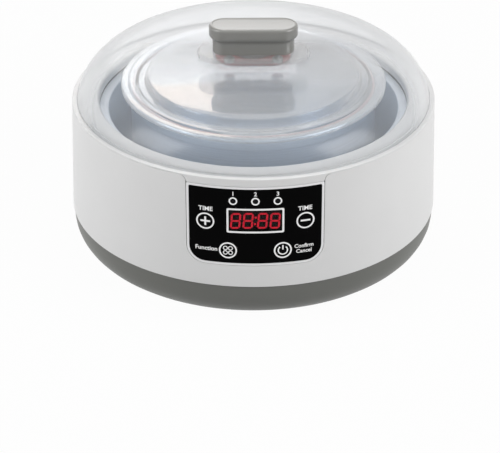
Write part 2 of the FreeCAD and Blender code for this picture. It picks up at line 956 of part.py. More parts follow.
def make_control_board():
    board = new_body("control_board")
    middle = control_board_low + half(size.control_board_height)
    front_block(board, ZERO, middle, size.control_board_width, size.control_board_height,
                control_board_back, size.board_thickness)
    module = new_body("display_module")
    front_block(module, ZERO, display_level, size.display_width - size.module_inset,
                size.display_height - size.module_inset, control_board_face, size.module_depth)
    chip = new_body("control_chip")
    front_block(chip, ZERO, control_board_high - size.chip_drop, size.chip_width, size.chip_height,
                control_board_back + size.chip_depth, size.chip_depth)
    buzzer = new_body("buzzer")
    buzzer_place = [(size.buzzer_offset, control_board_high - size.buzzer_drop)]
    rod(buzzer, buzzer_place, size.buzzer_radius, control_board_back, control_board_back + size.buzzer_depth)
    return [board, module, chip, buzzer]


def make_power_board():
    board = new_body("power_board")
    middle = power_board_low + half(power_board_height)
    front_block(board, ZERO, middle, size.power_board_width, power_board_height,
                power_board_face, size.board_thickness)
    transformer = new_body("transformer")
    front_block(transformer, -size.transformer_offset, middle, size.transformer_width,
                size.transformer_height, power_board_face + size.transformer_depth, size.transformer_depth)
    relay = new_body("relay")
    relay_level = power_board_low + size.relay_rise + half(size.relay_height)
    front_block(relay, size.relay_offset, relay_level, size.relay_width, size.relay_height,
                power_board_face + size.relay_depth, size.relay_depth)
    capacitor = new_body("smoothing_capacitor")
    capacitor_place = [(size.capacitor_offset, power_board_face + size.capacitor_radius)]
    capacitor_low = power_board_low + size.relay_rise * 2 + size.relay_height
    capacitor_high = power_board_high - size.capacitor_gap
    column(capacitor, capacitor_place, size.capacitor_radius, capacitor_low, capacitor_high)
    return [board, transformer, relay, capacitor]


# Mains inlet and leads

inlet_face = wall_radius(inlet_level) - size.inlet_inset
inlet_back = inlet_face - size.inlet_depth
pin_back = inlet_back - size.pin_tail
pin_places = [(half(size.pin_spacing) * side, inlet_level) for side in SIGNS]


def inlet_outline(sketch, grow):
    wide = half(size.inlet_width) + grow
    tall = half(size.inlet_height) + grow
    rectangle(sketch, -wide, wide, inlet_level - tall, inlet_level + tall, size.inlet_corner)


def make_mains_inlet():
    body = new_body("mains_inlet")
    shell = new_sketch(body, "XZ_Plane", -inlet_back)
    inlet_outline(shell, ZERO)
    pad(body, shell, size.inlet_depth, backwards=True)
    corner_aside = half(size.inlet_width) + size.inlet_flange
    low = inlet_level + half(size.inlet_height) + size.inlet_flange
    wall = wall_radius(low, size.housing_wall)
    flange_front = root(wall * wall - corner_aside * corner_aside) - half(size.fit_gap)
    flange = new_sketch(body, "XZ_Plane", -flange_front)
    inlet_outline(flange, size.inlet_flange)
    pad(body, flange, size.inlet_flange_depth)
    socket = new_sketch(body, "XZ_Plane", -inlet_face)
    wide = half(size.inlet_socket_width)
    tall = half(size.inlet_socket_height)
    rectangle(socket, -wide, wide, inlet_level - tall, inlet_level + tall, size.inlet_socket_round)
    pocket(body, socket, size.inlet_socket_depth, backwards=True)
    bores = new_sketch(body, "XZ_Plane", -inlet_face)
    for across, level in pin_places:
        circle(bores, across, level, size.pin_radius + half(size.screw_gap))
    pocket(body, bores, size.inlet_depth, backwards=True)
    pins = new_body("inlet_pins")
    rod(pins, pin_places, size.pin_radius, pin_back, inlet_face - size.pin_inset)
    return [body, pins]


def make_leads():
    mains = new_body("mains_leads")
    depth = inlet_back - size.lead_radius - size.fit_gap
    places = [(across, depth) for across, level in pin_places]
    low = inlet_level + size.pin_radius + half(size.screw_gap)
    column(mains, places, size.lead_radius, low, power_board_low - half(size.screw_gap))
    heater = new_body("heater_leads")
    level = clamp_low - size.fit_gap - size.lead_radius
    for side in SIGNS:
        across = half(size.heater_lead_spacing) * side
        route = new_sketch(heater, "YZ_Plane", across)
        route_line(route, [(depth, power_board_low - half(size.screw_gap)), (depth, level),
                           (heater_lead_reach, level)], size.heater_lead_bend)
        section = new_sketch(heater, "XY_Plane", power_board_low - half(size.screw_gap))
        circle(section, across, depth, size.lead_radius)
        pipe = heater.newObject("PartDesign::AdditivePipe", "heater_lead")
        pipe.Profile = section
        pipe.Spine = route
        document.recompute()
    return [mains, heater]


def route_line(sketch, points, bend):
    """An open line through three points with a rounded corner."""
    start, corner, end = [FreeCAD.Vector(across.value, up.value, 0) for across, up in points]
    first = sketch.addGeometry(Part.LineSegment(start, corner), False)
    second = sketch.addGeometry(Part.LineSegment(corner, end), False)
    sketch.addConstraint(Sketcher.Constraint("Coincident", first, 2, second, 1))
    hold_point(sketch, first, 1, *points[0])
    hold_point(sketch, second, 1, *points[1])
    hold_point(sketch, second, 2, *points[2])
    sketch.fillet(second, 1, bend.value, True, True)
    hold_radius(sketch, sketch.GeometryCount - 2, bend)


# Heating well and the heater stack

well_screw_pitch = bezel_opening + size.bezel_wall + size.well_boss_radius
well_screw_across = well_screw_pitch * cosine(size.well_screw_angle)
well_screw_deep = well_screw_pitch * sine(size.well_screw_angle)
well_screw_places = [
    (well_screw_across * right, well_screw_deep * back)
    for right in SIGNS
    for back in SIGNS
]


def make_heating_well():
    outer = well_radius + size.well_wall
    rim = outer + size.well_flange_width
    body = new_body("heating_well")
    lathe(body, [
        (ZERO, well_low),
        (outer, well_low, size.well_corner),
        (outer, flange_low),
        (rim, flange_low),
        (rim, flange_high),
        (well_radius, flange_high, half(size.well_wall)),
        (well_radius, well_floor, size.well_corner - size.well_wall),
        (ZERO, well_floor),
    ])
    drill(body, well_screw_places, size.well_screw_radius + size.screw_gap, flange_low, flange_high)
    stud_low = clamp_low - size.nut_height - size.fit_gap
    column(body, stud_places, size.stud_radius, stud_low, well_low)
    gasket = new_body("well_gasket")
    lathe(gasket, [
        (bezel_opening, flange_high),
        (bezel_opening + size.bezel_wall - size.screw_gap, flange_high),
        (bezel_opening + size.bezel_wall - size.screw_gap, bezel_foot),
        (bezel_opening, bezel_foot),
    ])
    head_high = flange_low
    fasteners = screws("well_screws", well_screw_places, size.well_screw_radius,
                       flange_high + size.well_screw_grip, size.well_head_radius,
                       head_high - size.well_head_height, head_high)
    return [body, gasket, fasteners]


def make_heater_stack():
    stud_hole = size.stud_radius + size.fit_gap
    heater = new_body("heater_plate")
    disc(heater, size.heater_opening, heater_radius, heater_low, well_low)
    drill(heater, stud_places, stud_hole, heater_low, well_low)
    clamp = new_body("heater_clamp")
    disc(clamp, size.sensor_radius + size.fit_gap, clamp_radius, clamp_low, heater_low)
    drill(clamp, stud_places, stud_hole, clamp_low, heater_low)
    nuts = new_body("clamp_nuts")
    sketch = new_sketch(nuts, "XY_Plane", clamp_low - size.nut_height)
    for across, deep in stud_places:
        hexagon(sketch, across, deep, size.nut_width)
    pad(nuts, sketch, size.nut_height)
    drill(nuts, stud_places, size.stud_radius + size.screw_gap, clamp_low - size.nut_height, clamp_low)
    sensor = new_body("temperature_sensor")
    lathe(sensor, [
        (ZERO, clamp_low - size.sensor_flange_height),
        (size.sensor_flange_radius, clamp_low - size.sensor_flange_height),
        (size.sensor_flange_radius, clamp_low),
        (size.sensor_radius, clamp_low),
        (size.sensor_radius, well_low),
        (ZERO, well_low),
    ])
    shield = new_body("heat_shield")
    shield_top = shield_low + size.shield_thickness
    lathe(shield, [
        (size.shield_opening, shield_low),
        (shield_radius, shield_low),
        (shield_radius, shield_top + size.shield_rim),
        (shield_radius - size.shield_thickness, shield_top + size.shield_rim),
        (shield_radius - size.shield_thickness, shield_top),
        (size.shield_opening, shield_top),
    ])
    return [heater, clamp, nuts, sensor, shield] + make_thermal_fuse()


def disc(body, inner, outer, low, high):
    return lathe(body, [(inner, low), (outer, low), (outer, high), (inner, high)])


def hexagon(sketch, across, deep, width):
    """A hexagon with two sides along Y."""
    flat = half(width)
    point = width / math.sqrt(3)
    outline(sketch, [
        (across + flat, deep - half(point)),
        (across + flat, deep + half(point)),
        (across, deep + point),
        (across - flat, deep + half(point)),
        (across - flat, deep - half(point)),
        (across, deep - point),
    ])


def make_thermal_fuse():
    """A fuse cartridge along X, held up against the clamp by a bent strip."""
    fuse_body = new_body("thermal_fuse")
    level = clamp_low - size.screw_gap - size.fuse_radius
    sketch = new_sketch(fuse_body, "YZ_Plane", -half(size.fuse_length))
    circle(sketch, -size.fuse_offset, level, size.fuse_radius)
    pad(fuse_body, sketch, size.fuse_length)
    clip = new_body("fuse_clip")
    inner = size.fuse_radius + size.screw_gap
    outer = inner + size.fuse_clip_wall
    foot = outer + size.fuse_clip_foot
    foot_low = clamp_low - size.fuse_clip_wall
    centre = -size.fuse_offset
    belly = level - inner
    sketch = new_sketch(clip, "YZ_Plane", -half(size.fuse_clip_width))
    outline(sketch, [
        (centre - foot, foot_low),
        (centre - outer, foot_low),
        (centre - outer, belly - size.fuse_clip_wall, inner),
        (centre + outer, belly - size.fuse_clip_wall, inner),
        (centre + outer, foot_low),
        (centre + foot, foot_low),
        (centre + foot, clamp_low),
        (centre + inner, clamp_low),
        (centre + inner, belly, inner * 0.95),
        (centre - inner, belly, inner * 0.95),
        (centre - inner, clamp_low),
        (centre - foot, clamp_low),
    ])
    pad(clip, sketch, size.fuse_clip_width)
    return [fuse_body, clip]


# Pot and inner lid

def make_inner_pot():
    base = pot_radius - size.pot_taper
    body = new_body("inner_pot")
    inner = pot_radius - size.pot_wall
    lathe(body, [
        (ZERO, pot_low),
        (base, pot_low, size.pot_corner),
        (pot_radius, pot_high - size.pot_rim_height),
        (pot_rim_radius, pot_high - size.pot_rim_height, size.pot_rim_round),
        (pot_rim_radius, pot_high, size.pot_rim_round),
        (inner, pot_high, size.pot_rim_round),
        (base - size.pot_wall, pot_low + size.pot_wall, size.pot_corner - size.pot_wall),
        (ZERO, pot_low + size.pot_wall),
    ])
    return body


plug_out = pot_radius - size.pot_wall - size.rest_gap - size.seal_thickness - size.seal_fin
plug_low = lid_seat - size.plug_depth
seal_low = plug_low + size.plug_lip
vent_pad_top = plateau_top + size.vent_pad_rise
vent_seat_top = vent_pad_top + size.vent_seat_thickness
vent_place = [(ZERO, size.vent_offset)]


def vent_outline(sketch, grow):
    wide = half(size.vent_width) + grow
    deep = half(size.vent_depth) + grow
    rectangle(sketch, -wide, wide, size.vent_offset - deep, size.vent_offset + deep, size.vent_corner)


def make_inner_lid():
    wall = size.inner_lid_wall
    rim = inner_lid_radius
    bead_top = inner_flange_top + size.bead_height
    bead_in = bead_radius - half(size.bead_width)
    bead_out = bead_radius + half(size.bead_width)
    groove_in = groove_radius - half(size.groove_width)
    groove_out = groove_radius + half(size.groove_width)
    edge = plateau_radius
    soft = size.inner_lid_round
    body = new_body("inner_lid")
    lathe(body, [
        (ZERO, plateau_top),
        (edge, plateau_edge, soft),
        (groove_in, groove_floor, half(soft)),
        (groove_out, groove_floor, half(soft)),
        (bead_in, bead_top, half(soft)),
        (bead_out, bead_top, half(soft)),
        (bead_out + size.bead_slope, inner_flange_top, half(soft)),
        (rim, inner_flange_top, soft),
        (rim, pot_high - size.inner_skirt_drop),
        (rim - wall, pot_high - size.inner_skirt_drop),
        (rim - wall, lid_seat),
        (plug_out, lid_seat),
        (plug_out, seal_low),
        (plug_out + size.plug_lip, seal_low),
        (plug_out + size.plug_lip, plug_low),
        (plug_out - size.plug_wall, plug_low),
        (plug_out - size.plug_wall, groove_floor - wall),
        (edge, groove_floor - wall),
        (edge - size.plateau_slope, plateau_edge - wall),
        (ZERO, plateau_top - wall),
    ])
    pad_low = plateau_top - wall + size.rest_gap
    seat = new_sketch(body, "XY_Plane", pad_low)
    vent_outline(seat, size.vent_pad_margin)
    pad(body, seat, vent_pad_top - pad_low)
    drill(body, vent_place, size.vent_stem_radius + size.fit_gap, plug_low, vent_pad_top)
    return body


def make_lid_seal():
    inner = plug_out + half(size.screw_gap)
    outer = inner + size.seal_thickness
    fin = outer + size.seal_fin
    low = seal_low + half(size.screw_gap)
    high = lid_seat - half(size.screw_gap)
    step = (high - low) / 5
    body = new_body("lid_seal")
    lathe(body, [
        (inner, low),
        (outer, low),
        (fin, low + step),
        (outer, low + step * 2),
        (outer, low + step * 3),
        (fin, low + step * 4),
        (outer, high),
        (inner, high),
    ])
    return body


def make_vent():
    seat = new_body("vent_seat")
    sketch = new_sketch(seat, "XY_Plane", vent_pad_top)
    vent_outline(sketch, ZERO)
    pad(seat, sketch, size.vent_seat_thickness)
    column(seat, vent_place, size.vent_knob_radius, vent_seat_top, vent_seat_top + size.vent_knob_height)
    slope = size.plateau_crown / plateau_radius
    reach = size.vent_offset + size.vent_barb_radius
    barb_top = plateau_top - size.inner_lid_wall - slope * reach - half(size.screw_gap)
    barb_low = barb_top - size.vent_barb_height
    column(seat, vent_place, size.vent_stem_radius, barb_low, vent_pad_top)
    column(seat, vent_place, size.vent_barb_radius, barb_low, barb_top)
    plug = new_body("vent_plug")
    ring_low = vent_seat_top + half(size.screw_gap)
    ring = new_sketch(plug, "XY_Plane", ring_low)
    circle(ring, ZERO, size.vent_offset, size.vent_ring_radius)
    circle(ring, ZERO, size.vent_offset, size.vent_knob_radius + size.fit_gap * 2)
    pad(plug, ring, size.vent_ring_height)
    round_edges(plug, ring_low + size.vent_ring_height, size.vent_ring_round)
    return [seat, plug]


# Outer lid and handle

def stadium(sketch, width, depth):
    """An oblong with round ends, about the middle."""
    radius = half(depth)
    straight = half(width) - radius
    left = FreeCAD.Vector(-straight.value, 0, 0)
    right = FreeCAD.Vector(straight.value, 0, 0)
    reach = FreeCAD.Vector(0, radius.value, 0)
    up = FreeCAD.Vector(0, 0, 1)
    right_end = Part.ArcOfCircle(Part.Circle(right, up, radius.value), -math.pi / 2, math.pi / 2)
    left_end = Part.ArcOfCircle(Part.Circle(left, up, radius.value), math.pi / 2, 3 * math.pi / 2)
    first = sketch.GeometryCount
    sketch.addGeometry(Part.LineSegment(left - reach, right - reach), False)
    sketch.addGeometry(right_end, False)
    sketch.addGeometry(Part.LineSegment(right + reach, left + reach), False)
    sketch.addGeometry(left_end, False)
    for index in range(4):
        follower = first + (index + 1) % 4
        sketch.addConstraint(Sketcher.Constraint("Tangent", first + index, 2, follower, 1))
    hold_point(sketch, first + 1, 3, straight, ZERO)
    hold_point(sketch, first + 3, 3, -straight, ZERO)
    hold_radius(sketch, first + 1, radius)


handle_screw_places = [(half(size.handle_screw_spacing) * side, ZERO) for side in SIGNS]


def lid_level(across, inner):
    """The level of the lid's crown above a radius, on its outer or inner face."""
    fall = size.lid_crown / (lid_radius - size.lid_draft) * across
    return lid_top - (size.lid_wall if inner else ZERO) - fall


def make_outer_lid():
    wall = size.lid_wall
    shoulder = lid_radius - size.lid_draft
    shoulder_top = lid_top - size.lid_crown
    body = new_body("outer_lid")
    lathe(body, [
        (lid_radius, lid_low),
        (shoulder, shoulder_top, size.lid_shoulder),
        (ZERO, lid_top),
        (ZERO, lid_top - wall),
        (shoulder - wall, shoulder_top - wall, size.lid_shoulder - wall),
        (lid_radius - wall, lid_low),
    ])
    plinth_low = lid_level(half(size.plinth_width), False) - half(size.lid_wall)
    sketch = new_sketch(body, "XY_Plane", plinth_low)
    stadium(sketch, size.plinth_width, size.plinth_depth)
    pad(body, sketch, plinth_top - plinth_low)
    round_edges(body, plinth_top, size.plinth_round)
    drill(body, handle_screw_places, size.handle_screw_radius + size.fit_gap, lid_low, plinth_top)
    return body


def make_handle():
    body = new_body("lid_handle")
    grip_low = plinth_top + size.handle_height - size.handle_grip_height
    handle_top = plinth_top + size.handle_height
    neck = new_sketch(body, "XY_Plane", plinth_top)
    stadium(neck, size.handle_width - size.handle_undercut * 2, size.handle_depth - size.handle_undercut * 2)
    pad(body, neck, grip_low - plinth_top)
    grip = new_sketch(body, "XY_Plane", grip_low)
    stadium(grip, size.handle_width, size.handle_depth)
    pad(body, grip, size.handle_grip_height)
    round_edges(body, handle_top, size.handle_top_round)
    round_edges(body, grip_low, size.handle_undercut * 0.45)
    hole_top = plinth_top + size.handle_screw_grip + size.rest_gap
    drill(body, handle_screw_places, size.handle_screw_radius + size.screw_gap, plinth_top, hole_top)
    head_high = lid_level(half(size.handle_screw_spacing) + size.handle_head_radius, True)
    head_low = head_high - size.handle_head_height
    fasteners = screws("handle_screws", handle_screw_places, size.handle_screw_radius,
                       plinth_top + size.handle_screw_grip, size.handle_head_radius, head_low, head_high)
    return [body, fasteners]


def build():
    """Make every sub-part, in the order in which the machine goes together."""
    pieces = [make_base_tray(), make_feet(), make_pillars(), make_base_screws()]
    pieces += [make_housing_shell(), make_top_bezel()]
    pieces += make_heating_well()
    pieces += make_heater_stack()
    pieces += [make_panel_overlay(), make_panel_frame(), make_display_window()]
    for name, (across, level) in KEYS.items():
        pieces += make_key(name, across, level)
    pieces += [make_switches()]
    pieces += make_indicators()
    pieces += make_control_board()
    pieces += make_power_board()
    pieces += make_mains_inlet()
    pieces += make_leads()
    pieces += [make_inner_pot(), make_inner_lid(), make_lid_seal()]
    pieces += make_vent()
    pieces += [make_outer_lid()]
    pieces += make_handle()
    return pieces


def check(pieces):
    """Stop on anything that failed to compute or is not a sound solid."""
    document.recompute()
    for item in document.Objects:
        if "Invalid" in item.State or "Error" in item.State:
            raise RuntimeError(f"{item.Label} is {item.State}")
    for piece in pieces:
        if piece.Shape.isNull() or not piece.Shape.isValid():
            raise RuntimeError(f"{piece.Label} has no sound shape")


def export(pieces):
    os.makedirs("parts", exist_ok=True)
    for piece in pieces:
        piece.Shape.exportStep(f"parts/{piece.Label}.step")
    print(f"{len(pieces)} sub-parts written")


sub_parts = build()
check(sub_parts)
export(sub_parts)
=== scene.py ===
# %% [markdown]
# # A yogurt maker, dressed for its portrait
# The solids of the machine come in already measured and placed, so this lesson is about looks. Each step
# takes one piece or one finish of the real object, says how it could be made, and makes it. Everything
# stays in metres and in the frame of the solids: +Z is up and the panel faces -Y.

# %% Load the measured solids
import json
import math

import bmesh
import bpy
from mathutils import Matrix, Quaternion, Vector


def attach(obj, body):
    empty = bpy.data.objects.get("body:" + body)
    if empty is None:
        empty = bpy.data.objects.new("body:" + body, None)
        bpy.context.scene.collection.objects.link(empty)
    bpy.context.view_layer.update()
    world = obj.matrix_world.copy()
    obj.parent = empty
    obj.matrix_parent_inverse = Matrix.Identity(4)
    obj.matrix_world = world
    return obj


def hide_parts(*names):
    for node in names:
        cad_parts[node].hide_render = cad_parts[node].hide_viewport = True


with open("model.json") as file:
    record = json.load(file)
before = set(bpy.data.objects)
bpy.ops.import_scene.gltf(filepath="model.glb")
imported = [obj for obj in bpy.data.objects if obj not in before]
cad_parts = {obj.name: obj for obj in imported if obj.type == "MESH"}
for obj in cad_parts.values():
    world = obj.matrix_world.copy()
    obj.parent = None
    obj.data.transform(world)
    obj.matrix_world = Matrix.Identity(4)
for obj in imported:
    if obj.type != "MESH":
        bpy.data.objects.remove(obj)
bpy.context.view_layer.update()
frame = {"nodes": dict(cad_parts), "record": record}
nodes = frame["nodes"]
MM = 0.001

# %% [markdown]
# ## The camera
# A product picture like this one is taken from a little over a metre with a long lens, looking down by about
# 26 degrees. The machine sits in the upper part of the picture, so the camera first looks straight at the
# middle of the seam under the lid and is then tilted down a few degrees. A lens shift would also do it, but
# a tilt keeps the camera honest when it is moved to other sides.

# %% Place the camera
IMAGE_WIDTH = 500
IMAGE_HEIGHT = 453
SENSOR_WIDTH = 36.0
FOCAL_PIXELS = 2165.0
SEAM_PIXEL = (253.4, 94.1)
VIEW_DISTANCE = 1.178
VIEW_ELEVATION = math.radians(26.39)
VIEW_AZIMUTH = math.radians(-0.6)
seam_centre = Vector((0, 0, 86 * MM))

towards_camera = Vector((
    math.sin(VIEW_AZIMUTH) * math.cos(VIEW_ELEVATION),
    -math.cos(VIEW_AZIMUTH) * math.cos(VIEW_ELEVATION),
    math.sin(VIEW_ELEVATION),
))
tilt = math.atan((IMAGE_HEIGHT / 2 - SEAM_PIXEL[1]) / FOCAL_PIXELS)
swing = math.atan((SEAM_PIXEL[0] - IMAGE_WIDTH / 2) / FOCAL_PIXELS)
straight_look = (-towards_camera).to_track_quat("-Z", "Y")

camera = bpy.data.objects.new("portrait_camera", bpy.data.cameras.new("portrait_camera"))
camera.data.sensor_width = SENSOR_WIDTH
camera.data.lens = FOCAL_PIXELS * SENSOR_WIDTH / IMAGE_WIDTH
camera.data.clip_end = 20
camera.location = seam_centre + towards_camera * VIEW_DISTANCE
camera.rotation_mode = "QUATERNION"
camera.rotation_quaternion = straight_look @ Quaternion((1, 0, 0), -tilt) @ Quaternion((0, 1, 0), swing)
bpy.context.scene.collection.objects.link(camera)
bpy.context.scene.camera = camera
bpy.context.scene.view_settings.view_transform = "Standard"
print("lens", round(camera.data.lens, 1), "mm")

# %% [markdown]
# ## Finishes
# Every finish is a small node graph. Moulded plastic is never one flat colour: the mould leaves a fine grain,
# and the gloss drifts a little from place to place. Both come from noise on Object coordinates, which stay
# put on the piece in every view. Values that are the same all over go straight on the shader's sockets.

# %% Helpers for node graphs
NOISE_LOW = 0.3
NOISE_HIGH = 0.7
TONE_START = 0.35
TONE_END = 0.65
finishes = {}


def new_finish(name):
    """Start a material with an empty graph, and give its node maker and its linker."""
    material = bpy.data.materials.new(name)
    material.use_nodes = True
    graph = material.node_tree
    graph.nodes.clear()
    finishes[name] = material
    return graph.nodes.new, graph.links.new


def object_noise(make, link, scale, detail=3.0, stretch=(1, 1, 1)):
    """Noise on Object coordinates, stretched along the axes, with its Fac output."""
    coordinates = make("ShaderNodeTexCoord")
    mapping = make("ShaderNodeMapping")
    mapping.inputs["Scale"].default_value = stretch
    noise = make("ShaderNodeTexNoise")
    noise.inputs["Scale"].default_value = scale
    noise.inputs["Detail"].default_value = detail
    link(coordinates.outputs["Object"], mapping.inputs["Vector"])
    link(mapping.outputs["Vector"], noise.inputs["Vector"])
    return noise.outputs["Fac"]


def spread(make, link, source, low, high):
    """Map a noise value onto a range."""
    ranged = make("ShaderNodeMapRange")
    ranged.inputs["From Min"].default_value = NOISE_LOW
    ranged.inputs["From Max"].default_value = NOISE_HIGH
    ranged.inputs["To Min"].default_value = low
    ranged.inputs["To Max"].default_value = high
    link(source, ranged.inputs["Value"])
    return ranged.outputs["Result"]


def two_tone(make, link, source, first, second):
    """A colour that drifts between two tones with a noise value."""
    ramp = make("ShaderNodeValToRGB")
    ramp.color_ramp.elements[0].position = TONE_START
    ramp.color_ramp.elements[1].position = TONE_END
    ramp.color_ramp.elements[0].color = (*first, 1)
    ramp.color_ramp.elements[1].color = (*second, 1)
    link(source, ramp.inputs["Fac"])
    return ramp.outputs["Color"]


def grain_bump(make, link, source, strength, distance):
    bump = make("ShaderNodeBump")
    bump.inputs["Strength"].default_value = strength
    bump.inputs["Distance"].default_value = distance
    link(source, bump.inputs["Height"])
    return bump.outputs["Normal"]


def shade(colour, factor):
    return tuple(channel * factor for channel in colour)


def finish_output(make, link, shader):
    link(shader, make("ShaderNodeOutputMaterial").inputs["Surface"])


# %% Moulded plastic, rubber and metal
FINE_GRAIN = 2600.0
GRAIN_DEPTH = 0.05 * MM
LINE_DENSITY = 1600.0
SHEET_LINE_DENSITY = 700.0
LINE_DEPTH = 0.01 * MM
LINE_STRENGTH = 0.02
LINE_TONE = 0.9


def moulded(name, colour, roughness, grain=0.06, drift=0.96, specular=0.5, coat=0.0, patches=38.0):
    """Moulded plastic or rubber with a fine grain and a slow drift of tone and gloss."""
    make, link = new_finish(name)
    surface = make("ShaderNodeBsdfPrincipled")
    slow = object_noise(make, link, patches)
    fine = object_noise(make, link, FINE_GRAIN, detail=2.0)
    link(two_tone(make, link, slow, shade(colour, drift), colour), surface.inputs["Base Color"])
    link(spread(make, link, slow, roughness * 0.92, roughness * 1.08), surface.inputs["Roughness"])
    link(grain_bump(make, link, fine, grain, GRAIN_DEPTH), surface.inputs["Normal"])
    surface.inputs["Specular IOR Level"].default_value = specular
    surface.inputs["Coat Weight"].default_value = coat
    finish_output(make, link, surface.outputs["BSDF"])


def drawn_metal(name, colour, roughness, rings=True, metallic=1.0):
    """Sheet metal with the fine lines of spinning or rolling in its gloss."""
    make, link = new_finish(name)
    surface = make("ShaderNodeBsdfPrincipled")
    if rings:
        coordinates = make("ShaderNodeTexCoord")
        split = make("ShaderNodeSeparateXYZ")
        flat = make("ShaderNodeCombineXYZ")
        radius = make("ShaderNodeVectorMath")
        radius.operation = "LENGTH"
        ring_place = make("ShaderNodeCombineXYZ")
        noise = make("ShaderNodeTexNoise")
        noise.inputs["Scale"].default_value = LINE_DENSITY
        noise.inputs["Detail"].default_value = 3.0
        link(coordinates.outputs["Object"], split.inputs["Vector"])
        link(split.outputs["X"], flat.inputs["X"])
        link(split.outputs["Y"], flat.inputs["Y"])
        link(flat.outputs["Vector"], radius.inputs[0])
        link(radius.outputs["Value"], ring_place.inputs["X"])
        link(split.outputs["Z"], ring_place.inputs["Y"])
        link(ring_place.outputs["Vector"], noise.inputs["Vector"])
        lines = noise.outputs["Fac"]
    else:
        lines = object_noise(make, link, SHEET_LINE_DENSITY, stretch=(0.05, 1, 1))
    link(two_tone(make, link, lines, shade(colour, LINE_TONE), colour), surface.inputs["Base Color"])
    link(spread(make, link, lines, roughness * 0.9, roughness * 1.1), surface.inputs["Roughness"])
    link(grain_bump(make, link, lines, LINE_STRENGTH, LINE_DEPTH), surface.inputs["Normal"])
    surface.inputs["Metallic"].default_value = metallic
    finish_output(make, link, surface.outputs["BSDF"])


# %% [markdown]
# ## See-through plastic
# The dome and the inner lid are thin clear plastic. Real refraction through such thin walls hardly bends
# anything, so a mix does the work. Most light goes straight through a Transparent shader. A milky surface
# takes over where the wall is seen edge on, because the look then runs through more plastic. Over both lies
# a sharp gloss that also grows towards the edge. Layer Weight's Facing output drives both, and it is the
# same on the inside and the outside of a wall, which a Fresnel node is not.

# %% Clear plastic
def edge_share(make, link, start, low, high, power=1.0):
    """A share that rises from `low`, seen straight on, to `high`, seen edge on."""
    facing = make("ShaderNodeLayerWeight")
    facing.inputs["Blend"].default_value = 0.5
    ranged = make("ShaderNodeMapRange")
    ranged.inputs["From Min"].default_value = start
    bent = make("ShaderNodeMath")
    bent.operation = "POWER"
    bent.inputs[1].default_value = power
    scaled = make("ShaderNodeMapRange")
    scaled.inputs["To Min"].default_value = low
    scaled.inputs["To Max"].default_value = high
    link(facing.outputs["Facing"], ranged.inputs["Value"])
    link(ranged.outputs["Result"], bent.inputs[0])
    link(bent.outputs["Value"], scaled.inputs["Value"])
    return scaled.outputs["Result"]


def clear_plastic(name, tint, milk, haze, gloss, roughness):
    """Clear plastic; `haze` and `gloss` are (start, low, high, power) of their edge shares."""
    make, link = new_finish(name)
    through = make("ShaderNodeBsdfTransparent")
    through.inputs["Color"].default_value = (*tint, 1)
    cloud = make("ShaderNodeBsdfPrincipled")
    cloud.inputs["Roughness"].default_value = 0.5
    slow = object_noise(make, link, 30.0)
    link(two_tone(make, link, slow, shade(milk, 0.97), milk), cloud.inputs["Base Color"])
    body = make("ShaderNodeMixShader")
    link(edge_share(make, link, *haze), body.inputs["Fac"])
    link(through.outputs["BSDF"], body.inputs[1])
    link(cloud.outputs["BSDF"], body.inputs[2])
    mirror = make("ShaderNodeBsdfGlossy")
    link(spread(make, link, slow, roughness * 0.9, roughness * 1.1), mirror.inputs["Roughness"])
    skin = make("ShaderNodeMixShader")
    link(edge_share(make, link, *gloss), skin.inputs["Fac"])
    link(body.outputs["Shader"], skin.inputs[1])
    link(mirror.outputs["BSDF"], skin.inputs[2])
    finish_output(make, link, skin.outputs["Shader"])


def lit(name, colour, strength):
    """A lamp behind a coloured filter: a little uneven, as a moulded segment is."""
    make, link = new_finish(name)
    glow = make("ShaderNodeEmission")
    slow = object_noise(make, link, 260.0)
    link(two_tone(make, link, slow, shade(colour, 0.9), colour), glow.inputs["Color"])
    glow.inputs["Strength"].default_value = strength
    finish_output(make, link, glow.outputs["Emission"])


# %% The finishes of this machine, by the record's slots
moulded("white_plastic", (0.70, 0.70, 0.70), 0.34, grain=0.03, drift=0.985)
moulded("grey_base", (0.118, 0.121, 0.110), 0.42)
moulded("grey_handle", (0.20, 0.198, 0.184), 0.26, grain=0.01, drift=0.98, coat=0.6,
        patches=9.0)
moulded("foot_rubber", (0.02, 0.02, 0.021), 0.75, grain=0.2)
clear_plastic("frosted_lid", (0.99, 0.995, 1.0), (0.75, 0.755, 0.76), (0.54, 0.09, 0.95, 0.6),
              (0.0, 0.02, 0.05, 3.0), 0.2)
clear_plastic("clear_lid", (0.95, 0.97, 0.99), (0.90, 0.89, 0.89), (0.3, 0.08, 0.6, 1.0),
              (0.0, 0.06, 0.85, 2.0), 0.05)
clear_plastic("plinth_clear", (0.97, 0.975, 0.98), (0.74, 0.74, 0.74), (0.5, 0.16, 0.85, 1.0),
              (0.0, 0.03, 0.12, 3.0), 0.15)
moulded("pink_silicone", (0.72, 0.33, 0.33), 0.55)
moulded("red_silicone", (0.55, 0.012, 0.02), 0.45)
moulded("white_vent", (0.80, 0.80, 0.80), 0.25)
drawn_metal("pot_steel", (0.68, 0.76, 0.85), 0.3)
drawn_metal("well_aluminium", (0.84, 0.89, 0.95), 0.5, metallic=0.2)
drawn_metal("screw_steel", (0.60, 0.60, 0.60), 0.25, rings=False)
moulded("seal_rubber", (0.05, 0.05, 0.053), 0.7)
moulded("heater_mica", (0.45, 0.31, 0.11), 0.6, drift=0.8)
drawn_metal("plated_sheet", (0.50, 0.51, 0.52), 0.35, rings=False)
drawn_metal("sensor_metal", (0.62, 0.62, 0.62), 0.3, rings=False)
moulded("panel_black", (0.0014, 0.0014, 0.0015), 0.22, grain=0.01, specular=0.02)
moulded("panel_trim", (0.84, 0.84, 0.85), 0.3, grain=0.02)
clear_plastic("display_smoke", (0.75, 0.70, 0.70), (0.004, 0.003, 0.003), (0.3, 0.15, 0.5, 1.0),
              (0.0, 0.004, 0.2, 4.0), 0.15)
